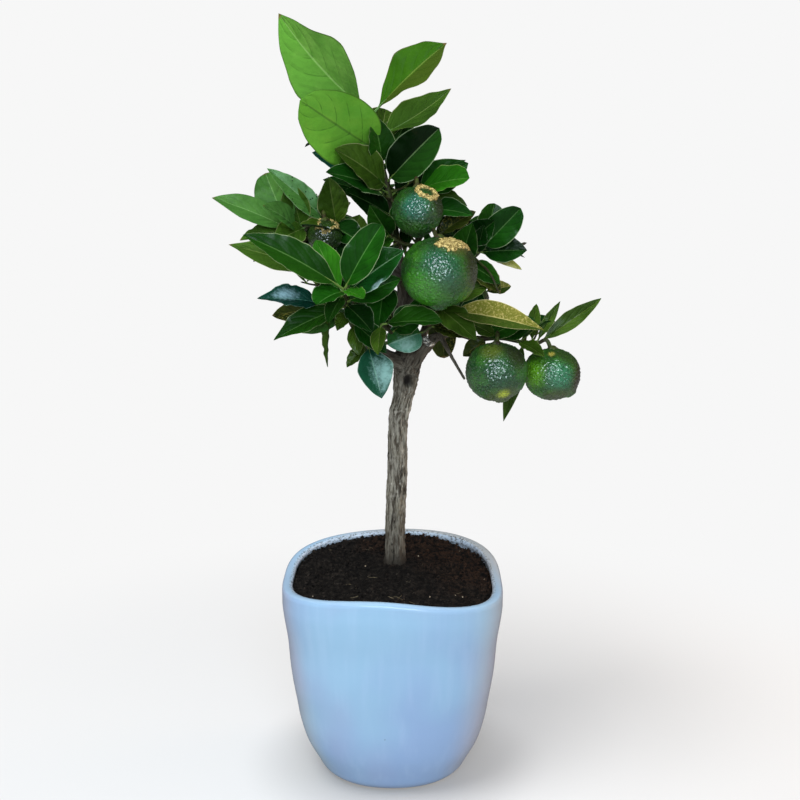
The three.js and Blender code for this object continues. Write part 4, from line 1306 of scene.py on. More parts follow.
    def make(self) -> None:
        """Builds and dresses the wood."""
        mesh = self.joined()
        bm = bmesh.new()
        bm.from_mesh(mesh)
        for _ in range(self.smoothings):
            bmesh.ops.smooth_vert(bm, verts=bm.verts, factor=0.5, use_axis_x=True,
                                  use_axis_y=True, use_axis_z=True)
        bm.normal_update()
        finder, found = self.limb_samples()
        grains = [self.grain_at(vert.co / MM, finder, found) for vert in bm.verts]
        reliefs = [self.relief(vert.co / MM, grain) for vert, grain in zip(bm.verts, grains)]
        for vert, (height, _, _) in zip(bm.verts, reliefs):
            vert.co = vert.co + vert.normal * (height * MM)
        bm.to_mesh(mesh)
        bm.free()
        grain = np.array([tuple(grain * MM) for grain in grains], np.float32)
        mesh.attributes.new("grain", "FLOAT_VECTOR", "POINT").data.foreach_set("vector", grain.ravel())
        give_numbers(mesh, "sunk", [sunk for _, sunk, _ in reliefs])
        give_numbers(mesh, "pale", [pale for _, _, pale in reliefs])
        piece = dressed("bark_trunk_and_boughs", mesh, [self.bark.material()], 180)
        hand_over(piece, "bark", "trunk", *(bough.name for bough in self.boughs))
        self.cut_face()

    def cut_face(self) -> None:
        """Builds the pale face of the pruned stub at the fork."""
        line = Line.through(self.stub.line)
        up = (line.direction(1) + Vector((0.05, -0.35, 0.25))).normalized()
        side = square_to(Vector((1, 0, 0)), up)
        middle = line.at(1) + line.direction(1) * 0.2
        turns = turns_of(28)
        wobble = 1 + 0.07 * np.sin(turns * 3 + 1) + 0.03 * np.sin(turns * 7)
        rows = ((4.2, -1.5), (5.3, -0.4), (5.1, 0.5), (4.2, 0.9), (2.4, 0.6), (1, 0.9))
        rings = [ring_at(middle + up * rise, side, up.cross(side), turns, wobble * radius)
                 for radius, rise in rows]
        bm = bmesh.new()
        loft(bm, rings, None, middle + up * 0.9)
        hand_over(finished("pruned_stub_face", bm, [self.cut.material()]), "bark")


# Leaves

class Tone(Enum):
    """The kinds of leaf in the crown, each with its colours and gloss."""

    FRESH = LeafFinish("#6ea242", "#558c30", "#39661d", "#8fb968", "#38461b", 0.5, 0.05, 0.6, dry=0.8)
    # This tone has a painted shade on one half.
    LIME = LeafFinish("#75a336", "#558b28", "#2f5a16", "#36591f", "#334218", 0.5, 0.1, 0.7, half="#4f8f2a",
        painted_half_share=0.5)
    MID = LeafFinish("#53833b", "#3d6a2b", "#2c5420", "#7aa562", "#48643a", 0.5, 0.06, 0.4, dry=0.6)
    SPOTTED = LeafFinish("#7cae7c", "#467534", "#2d5322", "#8fb283", "#9db28e", 0.42, 0.2, 0.3, 0.6,
        specks=0.95)
    OLIVE = LeafFinish("#45691f", "#345316", "#263e10", "#7a904c", "#959b66", 0.5, 0.08, dry=0.6)
    GRASS = LeafFinish("#2f7212", "#21590d", "#143c08", "#5a8a3c", "#93a566", 0.45, 0.12, 0.5)
    BRIGHT = LeafFinish("#1b550d", "#103c07", "#092905", "#568c42", "#9db084", 0.4, 0.16, 0.5)
    # This tone has a painted shade on one half.
    FOREST = LeafFinish("#2c5e13", "#1a420a", "#102c06", "#5c8044", "#98a878", 0.42, 0.16, 0.5,
        half="#0e3207", painted_half_share=0.8)
    MOSS = LeafFinish("#43601a", "#2c440f", "#1d2f0a", "#6b7a42", "#a0a274", 0.45, 0.12, 0.5)
    DARK = LeafFinish("#1a4d10", "#0d3308", "#072305", "#557a43", "#9cae86", 0.36, 0.22)
    DEEP = LeafFinish("#103a0a", "#072205", "#051804", "#4c6b3b", "#8a9c7a", 0.36, 0.22)
    UMBER = LeafFinish("#37440f", "#1d290a", "#141b06", "#6a6c38", "#a39a62", 0.5, 0.12, dry=0.7,
        mottle_and_glints="#6d6a2c")
    # The next three tones carry a painted sheen, a milky reflection on part of the blade; the blue-green of
    # the first and the third also stands in for reflected sky.
    TEAL = LeafFinish("#17493c", "#0b3226", "#08261c", "#5f9684", "#93b3a4", 0.28, 0.4,
        painted_sheen=PaintedSheen(0.3, 0.6, 0.28, "#9fc6d2", 0.75))
    SLATE = LeafFinish("#195420", "#0e3a0c", "#0a2b07", "#7fa57c", "#a6bda6", 0.3, 0.12,
        painted_sheen=PaintedSheen(0.95, 0.5, 0.15, "#a9c6cf", 0.7))
    MILKY_SHEEN = LeafFinish("#205a3f", "#14432e", "#0f3624", "#7fb69c", "#a9c4b1", 0.3, 0.4,
        painted_sheen=PaintedSheen(-0.5, 0.6, 0.46, "#9bc9c2", 0.8))
    # This tone's gold is painted warm sunlight, with painted gold highlights as specks and a painted shade
    # on one half.
    TAN = LeafFinish("#958a44", "#686a26", "#565a1e", "#cfc282", "#dccf98", 0.5, 0.1, half="#21410b",
        painted_half_share=0.9, mottle_and_glints="#b0a160")
    # Painted light: a pale blue-green blade that stands in for reflected sky, with a painted sheen, and its
    # other half painted dark.
    SKY_LIT_HALF = LeafFinish("#5f9a80", "#4a8266", "#3f7053", "#9ac0a6", "#b9d0bd", 0.32, 0.3, half="#1a4a0f",
        painted_half_share=0.95, painted_sheen=PaintedSheen(-0.5, 0.6, 0.4, "#a9cfc8", 0.6))
    # Painted shade: one half darker olive-brown.
    SHADED_BROWN_HALF = LeafFinish("#447311", "#2f5a0c", "#1e4208", "#6f7f3a", "#5f5a30", 0.5, 0.04, 0.6,
        half="#384714", dry=0.9)
    # Painted light: one half lighter on a deep green blade.
    DEEP_LIT_HALF = LeafFinish("#0c2a09", "#051804", "#031103", "#6a8a54", "#93a881", 0.36, 0.3, half="#1b430f",
        painted_half_share=0.75)
    BUD = LeafFinish("#cfca86", "#94953f", "#7c7c36", "#e0dca2", "#e8e4b8", 0.5, 0.0)
    PALE_UNDER = LeafFinish("#568040", "#436b33", "#365a2a", "#7b9f63", "#66844c", 0.6, 0.0)
    DARK_UNDER = LeafFinish("#2c4c22", "#203b1a", "#193015", "#577346", "#667f58", 0.6, 0.0)

    @property
    def place(self) -> int:
        """Returns the tone's place among the leaf materials."""
        return TONES.index(self)


TONES = tuple(Tone)
(FRESH, LIME, MID, SPOTTED, OLIVE, GRASS, BRIGHT, FOREST, MOSS, DARK, DEEP, UMBER, TEAL, SLATE, MILKY_SHEEN,
 TAN, SKY_LIT_HALF, SHADED_BROWN_HALF, DEEP_LIT_HALF, BUD, PALE_UNDER, DARK_UNDER) = TONES
SMOOTH_TONES = (FRESH, LIME, MID, SHADED_BROWN_HALF, MILKY_SHEEN, TAN, BUD, SKY_LIT_HALF)
PALE_BELOW = (FRESH, LIME, GRASS, MID, SPOTTED, TAN, OLIVE, SHADED_BROWN_HALF, BUD)


class Form(Enum):
    """The outlines of a blade, as rows of a share of its length and the half width there."""

    OVATE = ((0, 0), (0.08, 0.36), (0.2, 0.72), (0.4, 1), (0.5, 0.98), (0.65, 0.83), (0.8, 0.56),
             (0.9, 0.33), (1, 0))
    DRIP = ((0, 0), (0.08, 0.3), (0.2, 0.7), (0.35, 0.97), (0.45, 1), (0.6, 0.88), (0.75, 0.6),
            (0.87, 0.3), (0.95, 0.12), (1, 0))
    ROUND = ((0, 0), (0.06, 0.4), (0.15, 0.68), (0.3, 0.92), (0.45, 1), (0.6, 0.97), (0.75, 0.84),
             (0.87, 0.62), (0.95, 0.4), (1, 0))
    LANCE = ((0, 0), (0.1, 0.4), (0.3, 0.85), (0.45, 1), (0.6, 0.88), (0.8, 0.5), (0.9, 0.26), (1, 0))
    BROAD = ((0, 0), (0.08, 0.42), (0.17, 0.8), (0.29, 1.02), (0.42, 1.06), (0.55, 0.95), (0.7, 0.7),
             (0.82, 0.44), (0.92, 0.2), (1, 0))
    HOOKED = ((0, 0), (0.1, 0.24), (0.25, 0.58), (0.42, 0.9), (0.58, 1.0), (0.7, 0.9),
              (0.82, 0.62), (0.91, 0.28), (0.96, 0.1), (1, 0))

    def swell(self, shares: np.ndarray) -> np.ndarray:
        """Returns how much wider than the other the right half is at shares of the blade."""
        most = 0.42 if self is BROAD else 0.0
        return most * np.exp(-(((shares - 0.24) / 0.26) ** 2))

    def width(self, share: float) -> float:
        """Returns the half width at a share of the blade, as a smooth curve through its rows."""
        knots = self.value
        last = len(knots) - 1
        slopes = [(knots[min(k + 1, last)][1] - knots[max(k - 1, 0)][1])
                  / (knots[min(k + 1, last)][0] - knots[max(k - 1, 0)][0]) for k in range(last + 1)]
        for k in range(last):
            low, high = knots[k], knots[k + 1]
            if share <= high[0]:
                reach = high[0] - low[0]
                at_low, from_low, at_high, to_high = hermite((share - low[0]) / reach)
                return max(low[1] * at_low + high[1] * at_high + slopes[k] * reach * from_low
                           + slopes[k + 1] * reach * to_high, 0.0)
        return 0.0


OVATE, DRIP, ROUND, LANCE, BROAD, HOOKED = Form


@dataclass
class Leaf:
    """One leaf: where it is rooted, how it lies and how it looks."""

    root: Vector
    chord: Vector
    upper: Vector
    length: float
    width: float
    curl: float
    tone: Tone = DARK
    form: Form = OVATE
    fold: float = 14
    seed: int = 1

    PETIOLE = 0.1
    THICKNESS = 0.5
    PLACED_GRID = (30, 12)
    GROWN_GRID = (8, 4)
    STALK = ((0.0, 1.0, 0), (0.05, 0.85, 0), (0.1, 0.8, 0.1), (0.22, 0.6, 0.75), (0.5, 0.25, 0.6))
    MIDDLE = 0.55

    def at(self, share: float = 1) -> Vector:
        """Returns the place at a share of the straight way to the leaf's tip."""
        return self.root + self.chord * (self.length * share)

    def meets(self, balls: Balls) -> bool:
        """Returns whether the blade would touch a limb."""
        room = self.width * 0.3 + 1
        return any((self.at(share) - middle).length < radius + room
                   for share in (0.35, 0.6, 0.85, 1.0) for middle, radius in balls)

    def bends(self) -> tuple[float, float, np.ndarray, np.ndarray, np.ndarray]:
        """Returns the bend, the arc's length and the directions at the root."""
        bend = DEGREE if abs(self.curl) < 1 else self.curl * DEGREE
        arc = self.length * (bend / 2) / sin(bend / 2)
        start = self.chord * cos(bend / 2) + self.upper * sin(bend / 2)
        lift = self.upper * cos(bend / 2) - self.chord * sin(bend / 2)
        return bend, arc, np.array(start), np.array(lift), np.array(self.chord.cross(self.upper))

    def middle_line(self, shares: np.ndarray) -> tuple[np.ndarray, np.ndarray]:
        """Returns the places along the midrib and the way the blade looks there."""
        bend, arc, start, lift, _ = self.bends()
        turns = (bend * shares)[:, None]
        places = (np.array(self.root) + start * (arc / bend) * np.sin(turns)
                  - lift * (arc / bend) * (1 - np.cos(turns)))
        return places, lift * np.cos(turns) + start * np.sin(turns)

    def blade(self, rows: int, columns: int) -> tuple[np.ndarray, np.ndarray, np.ndarray]:
        """Works out the blade's middle surface.

        Args:
            rows: how many stretches it has along its length.
            columns: how many it has across.

        Returns:
            Its places, the way it looks at each, and its shares along the leaf.
        """
        draw = Draw(self.seed)
        twist = draw.between(-12, 12) * DEGREE
        waves = draw.between(1.4, 2.6)
        phase = draw.between(0, 2 * pi)
        ripple = draw.between(0.05, 0.13)
        steps = np.arange(rows + 1) / rows
        shares = self.PETIOLE + (1 - self.PETIOLE) * steps
        places, out = self.middle_line(shares)
        side = np.broadcast_to(self.bends()[4], out.shape)
        angle = (twist * (steps - 0.4))[:, None]
        side, out = side * np.cos(angle) + out * np.sin(angle), out * np.cos(angle) - side * np.sin(angle)
        half = np.array([self.form.width(s) for s in steps]) * self.width / 2
        half = np.maximum(half, np.where(steps < 0.05, 0.7, 0.0))
        across = np.linspace(-1, 1, columns + 1)
        level = np.abs(across)[None, :]
        wide = half[:, None] * (1 + self.form.swell(steps)[:, None] * np.maximum(across, 0))
        raised = wide * sin(self.fold * DEGREE) * level**1.3
        wave = np.sin(steps * waves * 2 * pi + phase)[:, None] * np.sign(across)[None, :]
        tilt = np.sin(steps * waves * 3.1 + phase * 2)[:, None]
        raised = raised + half[:, None] * ripple * level**2 * (wave * 0.7 + tilt * 0.6)
        crimp = np.sin(steps * waves * 14.5 + phase * 3)[:, None] + 0.6 * np.sin(
            steps[:, None] * waves * 23 + np.sign(across)[None, :] * phase)
        calm = 0.35 if self.tone in SMOOTH_TONES else 1.0
        raised = raised + (rows > 10) * np.sin(steps * pi)[:, None] * calm * 0.55 * level**3 * crimp
        order = (shares[:, None] - LeafFinish.SWEEP * level**1.25) * LeafFinish.VEINS
        quilt = np.cos(order * 2 * pi + pi) * (1 - level**2) * np.minimum(level * 3, 1)
        raised = raised - quilt * min(self.width / 190, 0.3) * (rows > 10)
        raised = raised - 0.4 * np.exp(-((level / 0.1) ** 2)) * (half[:, None] > 3)
        grid = (places[:, None, :]
                + side[:, None, :] * (across[None, :] * wide * cos(self.fold * DEGREE))[..., None]
                + out[:, None, :] * raised[..., None])
        return grid, np.broadcast_to(out[:, None, :], grid.shape), shares

    def add_to(self, sheaf: Sheaf, placed: bool) -> None:
        """Adds the leaf to a sheaf as a thin closed blade on its stalk."""
        rows, columns = self.PLACED_GRID if placed else self.GROWN_GRID
        grid, out, shares = self.blade(rows, columns)
        thin = self.THICKNESS / 2
        top, below = grid[:-1] + out[:-1] * thin, grid[:-1, 1:-1] - out[:-1, 1:-1] * thin
        ring = np.concatenate([top, below[:, ::-1]], axis=1)
        corners = np.vstack([ring.reshape(-1, 3), np.array(self.at())])
        around = 2 * columns
        across = [*np.linspace(0, 1, columns + 1), *np.linspace(1, 0, columns + 1)[1:]]
        above = self.tone.place
        under = (PALE_UNDER if self.tone in PALE_BELOW else DARK_UNDER).place
        faces, places = [], []
        for i in range(rows):
            low, high = shares[i], shares[i + 1]
            for k in range(around):
                near, far = across[k], across[k + 1]
                a, b = i * around + k, i * around + (k + 1) % around
                if i < rows - 1:
                    faces.append([a, b, b + around, a + around])
                    places += [(near, low), (far, low), (far, high), (near, high)]
                else:
                    faces.append([a, b, len(corners) - 1])
                    places += [(near, low), (far, low), ((near + far) / 2, high)]
        faces.append(list(range(around))[::-1])
        places += [(0.5, 0.1)] * around
        looks = ([above] * columns + [under] * columns) * rows + [under]
        shade = Draw(self.seed + 7).next()
        sheaf.add(corners, faces, looks, places, shade)
        self.add_stalk(sheaf, shade)

    def add_stalk(self, sheaf: Sheaf, shade: float) -> None:
        """Adds the stalk, which runs on as the rib under the blade."""
        places, out = self.middle_line(np.array([share for share, *_ in self.STALK]))
        side = self.bends()[4]
        size = min(1.15, 0.55 + self.length / 130)
        rings = [ring_at(place - way * sink, side, way, turns_of(5), radius * size)
                 for place, way, (_, radius, sink) in zip(places, out, self.STALK)]
        tone = PALE_UNDER if self.tone in PALE_BELOW else OLIVE
        sheaf.add_rings(rings, tone.place, shade)


# Fruit

@dataclass(frozen=True)
class GoldGlintCrust:
    """A raised crust round a direction from the fruit's middle, with a hole if it is a ring, coloured as a
    painted gold highlight of warm light.

    The outer and inner edges are degrees from that direction.
    """

    towards: Point
    outer: float
    inner: float = 0.0
    rise: float = 0.9
    ragged: float = 0.16
    narrow: float = 1.0


@dataclass(frozen=True)
class Lime:
    """One fruit: its middle, its radius and where its stalk leaves the stem."""

    centre: Point
    radius: float
    share: float
    rind: RindFinish
    fineness: int = 6
    nipple: Point = (0, 0, -1)
    gold_glint: GoldGlintCrust | None = None
    flat_foot: float = 0.0

    HEIGHT = 0.95
    STALK_RISE = 4
    STALK_SHOULDER = 0.4
    STALK_DEPTH = 0.7
    BUTTON = ((3.2, -1.2), (3.6, 0.2), (2.4, 1.3), (1.6, 2.2))
    NECK, RIB, TIP, BROAD = 0.045, 0.022, 0.075, 0.035
    PEBBLE = (0.44, 0.95)
    SCAR_STEPS, SCAR_SIDES = 14, 90

    def stalk(self, stem: Line) -> Line:
        """Returns the stalk's line: it rises over the fruit and enters it from above."""
        start, middle = stem.at(self.share), Vector(self.centre)
        above = middle + Vector((0, 0, self.radius + self.STALK_RISE))
        shoulder = above.lerp(start, self.STALK_SHOULDER)
        shoulder.z = max(shoulder.z, above.z)
        return Line((start, shoulder, middle + Vector((0, 0, self.radius * self.STALK_DEPTH))))

    def skin_at(self, way: Vector) -> float:
        """Returns the distance from the middle to the rind in a direction."""
        radius = self.radius
        turn = atan2(way.y, way.x)
        neck = smooth(0.72, 0.97, way.z)
        ribs = cos(turn * 7 + radius) * self.RIB * smooth(0.55, 0.85, way.z) * (1 - neck)
        tip = smooth(0.955, 0.998, way.dot(Vector(self.nipple).normalized()))
        broad = noise.noise(way * 1.3 + Vector(self.centre) * 0.1) * self.BROAD
        flat = self.flat_foot * smooth(-0.6, -1.0, way.z)
        shape = 1 - self.NECK * neck + ribs + self.TIP * tip + broad - flat
        place = way * radius
        cell = noise.voronoi(place * self.PEBBLE[0] + Vector((radius, 0, 0)))[0][0]
        return radius * shape + (0.42 - cell) * self.PEBBLE[1] + noise.noise(place * 0.85) * 0.3

    def add_to(self, bm: BMesh, look: int) -> None:
        """Adds the fruit's body to a mesh."""
        grown = bmesh.ops.create_icosphere(bm, subdivisions=self.fineness, radius=1)["verts"]
        middle = Vector(self.centre)
        squash = Vector((1, 1, self.HEIGHT))
        for vert in grown:
            way = vert.co.normalized()
            out = way * self.skin_at(way)
            vert.co = (middle + (out * squash if way.z > 0 else out)) * MM
        for face in {face for vert in grown for face in vert.link_faces}:
            face.material_index = look

    def add_gold_glint(self, bm: BMesh, look: int) -> None:
        """Adds the crust in the painted gold highlight's colour, a low crust that is laid on the rind."""
        gold_glint = self.gold_glint
        up = Vector(gold_glint.towards).normalized()
        side = square_to(Vector((0, 0, 1)), up)
        other = up.cross(side)
        middle = Vector(self.centre)
        crust = bmesh.new()
        rings = []
        for share in (step / self.SCAR_STEPS for step in range(self.SCAR_STEPS + 1)):
            rise = mix(-1.2, 1.0, min(smooth(0, 0.2, share), smooth(1.0, 0.8, share)))
            ring = []
            for turn in turns_of(self.SCAR_SIDES):
                round_way = side * cos(turn) + other * sin(turn)
                rough = 1 + gold_glint.ragged * (noise.noise(round_way * 2.4 + middle * 0.3)
                                           + 0.5 * noise.noise(round_way * 7 + middle))
                rough *= mix(1, gold_glint.narrow, cos(turn) ** 2)
                away = mix(gold_glint.outer * rough, gold_glint.inner * rough, share) * DEGREE
                way = up * cos(away) + round_way * sin(away)
                lift = gold_glint.rise * rise * (1 + 0.5 * noise.noise(way * 9))
                ring.append(middle + way * (self.skin_at(way) + lift))
            rings.append(np.array([tuple(place) for place in ring]))
        loft(crust, rings, middle + up * self.radius * 0.8, middle + up * self.radius * 0.82)
        for face in crust.faces:
            face.material_index = look
        join_into(bm, crust)

    def add_button(self, sheaf: Sheaf) -> None:
        """Adds the five-pointed button where the stalk enters."""
        top = Vector(self.centre) + Vector((0, 0, self.radius * self.HEIGHT * 0.95))
        turns = turns_of(20)
        points = 1 + 0.22 * np.cos(turns * 5)
        rings = [ring_at(top + Vector((0, 0, rise)), (1, 0, 0), (0, 1, 0), turns, points * radius)
                 for radius, rise in self.BUTTON]
        sheaf.add_rings(rings, 0, 0.3)


# The crown

@dataclass(frozen=True)
class Space:
    """The ellipsoid that one mass of foliage keeps to."""

    centre: Point
    half: Point

    def holds(self, point: Sequence[float], fill: float) -> bool:
        """Returns whether a point lies within a share of the space."""
        return sum(((p - c) / h) ** 2 for p, c, h in zip(point, self.centre, self.half)) <= fill**2


def in_cad_box(point: Vector) -> bool:
    """Returns whether a point, in millimetres, lies inside the CAD model's box."""
    return all(low < value * MM < high for low, value, high in zip(CAD_BOX[0], point, CAD_BOX[1]))


@dataclass(frozen=True)
class Bare:
    """A bare or broken twig: its points and the radius at both ends."""

    points: tuple[Point, ...]
    radius: Pair


@dataclass(frozen=True)
class MassPlan:
    """What one mass of foliage is grown from.

    A twig is (share along the stem, heading, lean, length). A leaf is (twig, share along it,
    heading, lean, length, width, facing, tilt, curl, tone, form), an oval where no form is
    told. Grown is (seed, number of twigs, leaves on each twig, shortest leaf, longest leaf).
    More holds leaves that the solid lacks, and hues are the tones of the grown leaves.
    """

    name: str
    stem: tuple[Point, ...]
    space: Space
    thick: float
    twigs: tuple[tuple[float, ...], ...] = ()
    leaves: tuple[tuple, ...] = ()
    limes: tuple[Lime, ...] = ()
    bare: tuple[Bare, ...] = ()
    more: tuple[tuple, ...] = ()
    grown: tuple[int, int, int, int, int] = (1, 0, 0, 30, 40)
    hues: tuple[Tone, ...] = (DARK, FOREST, DEEP, BRIGHT, DARK, MOSS)


class Solid:
    """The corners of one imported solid, to ask which grown leaves and twigs it has."""

    def __init__(self, node: str) -> None:
        """Reads the solid's corners from the frame."""
        self.finder = finder_of([vert.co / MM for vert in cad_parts[node].data.vertices])

    def has_tip(self, tip: Vector) -> bool:
        """Returns whether a leaf's tip is one of the corners."""
        return self.finder.find(tip)[2] < 0.4

    def has_end(self, end: Vector, radius: float) -> bool:
        """Returns whether a twig's end ring is among the corners."""
        return all(abs(away - radius) < 0.35 for _, _, away in self.finder.find_n(end, 3))


@dataclass(frozen=True)
class Viewer:
    """Where the picture is taken from: in front of the pot, a little above the crown's middle."""

    place: Point = (6.0, -996.0, 524.0)
    pitch: float = 12.1
    focal: float = 1275.0
    picture: int = 800
    sensor: float = 36.0

    def seen(self, points: np.ndarray) -> tuple[np.ndarray, np.ndarray, np.ndarray]:
        """Returns where points fall in the picture, and how far away they are."""
        off = points - np.array(self.place)
        up, down = sin(self.pitch * DEGREE), cos(self.pitch * DEGREE)
        depth = off[..., 1] * down - off[..., 2] * up
        rise = off[..., 1] * up + off[..., 2] * down
        half = self.picture / 2
        return half + self.focal * off[..., 0] / depth, half - self.focal * rise / depth, depth

    def make(self) -> None:
        """Makes the camera."""
        camera = bpy.data.cameras.new("viewer")
        camera.sensor_width = self.sensor
        camera.lens = self.focal / self.picture * self.sensor
        camera.clip_start, camera.clip_end = 0.05, 30
        holder = in_scene("viewer", camera)
        holder.location = Vector(self.place) * MM
        holder.rotation_euler = ((90 - self.pitch) * DEGREE, 0, 0)
        bpy.context.scene.camera = holder


class FrontCover:
    """How near the viewer the crown's face is, so that finer leaves stay behind it."""

    CELL = 3.0
    MARGIN = 2.5
    NEARLY_ALL = 0.96

    def __init__(self, viewer: Viewer) -> None:
        """Starts with nothing in front."""
        self.viewer = viewer
        cells = int(viewer.picture / self.CELL) + 2
        self.depth = np.full((cells, cells), np.inf)

    def cells_of(self, points: np.ndarray) -> tuple[tuple[np.ndarray, np.ndarray], np.ndarray]:
        """Returns the cell and the depth of each point."""
        across, down, depth = self.viewer.seen(points.reshape(-1, 3))
        limit = self.depth.shape[0] - 1
        return (np.clip(down / self.CELL, 0, limit).astype(int),
                np.clip(across / self.CELL, 0, limit).astype(int)), depth

    def add(self, points: np.ndarray) -> None:
        """Marks what many points cover."""
        np.minimum.at(self.depth, *self.cells_of(points))

    def add_leaf(self, leaf: Leaf) -> None:
        """Marks what a leaf covers."""
        self.add(leaf.blade(40, 16)[0])

    def add_ball(self, centre: Point, radius: float) -> None:
        """Marks what a fruit covers."""
        steps = np.linspace(-0.97, 0.97, 41)
        x, z = np.meshgrid(steps, steps)
        inside = x**2 + z**2 < 0.95
        x, z = x[inside], z[inside]
        self.add(np.array(centre) + radius * np.stack([x, -np.sqrt(1 - x**2 - z**2), z], axis=1))

    def hides(self, leaf: Leaf) -> bool:
        """Returns whether a leaf lies behind the crown's face, nearly all of it."""
        cells, depth = self.cells_of(leaf.blade(8, 4)[0])
        return float(np.mean(depth > self.depth[cells] + self.MARGIN)) > self.NEARLY_ALL


TWIG_SAG = 0.08
TWIG_RADIUS = (1.7, 1.1)


@dataclass(frozen=True)
class Habit:
    """How shoots leave what they grow on, each as the least value and what may be added."""

    places: Pair
    turn: Pair
    spread: Pair
    length: Pair

    def shoot(self, stem: Line, order: int, count: int, draw: Draw) -> Line:
        """Grows one of a count of shoots round a stem by the golden turn."""
        share = self.places[0] + self.places[1] * (order + 0.5) / count
        turn = order * GOLDEN_TURN + draw.within(self.turn)
        direction = spread_from(stem.direction(share), turn, draw.within(self.spread))
        length = draw.within(self.length)
        start = stem.at(share)
        end = start + direction * length
        middle = start.lerp(end, 0.5) - Vector((0, 0, length * TWIG_SAG))
        return Line((start, middle, end))


GROWN_TWIG = Habit((0.2, 0.8), (0, 40), (45, 25), (22, 16))
FINE_TWIG = Habit((0.25, 0.75), (0, 80), (40, 40), (12, 14))
LEAF_PLACES, LEAF_TURN, LEAF_SPREAD = (0.3, 0.7), (0, 70), (35, 35)
LEAF_WIDTH, LEAF_CURL = (0.42, 0.14), (8, 37)


def side_twig(stem: Line, share: float, heading: float, lean: float, length: float) -> Line:
    """Returns a side twig: it leaves the stem and bends a little upwards."""
    start, direction = stem.at(share), aim(heading, lean)
    middle = start + direction * (length / 2) - Vector((0, 0, length * TWIG_SAG))
    return Line((start, middle, start + direction * length))


def grown_leaves(twig: Line, count: int, shortest: float, longest: float, draw: Draw) -> list[Leaf]:
    """Grows leaves round a twig, each drawn in full before anything is skipped."""
    leaves = []
    for k in range(count):
        share = LEAF_PLACES[0] + LEAF_PLACES[1] * (k + 1) / count
        turn = k * GOLDEN_TURN + draw.within(LEAF_TURN)
        chord = spread_from(twig.direction(share), turn, draw.within(LEAF_SPREAD))
        up = Vector((draw.next() - 0.5, draw.next() - 0.5, 1))
        length = mix(shortest, longest, draw.next())
        width = length * draw.within(LEAF_WIDTH)
        curl = draw.within(LEAF_CURL)
        leaves.append(Leaf(twig.at(share), chord, square_to(up, chord), length, width, curl,
                           fold=9, seed=draw.state % 9973 + 1))
    return leaves


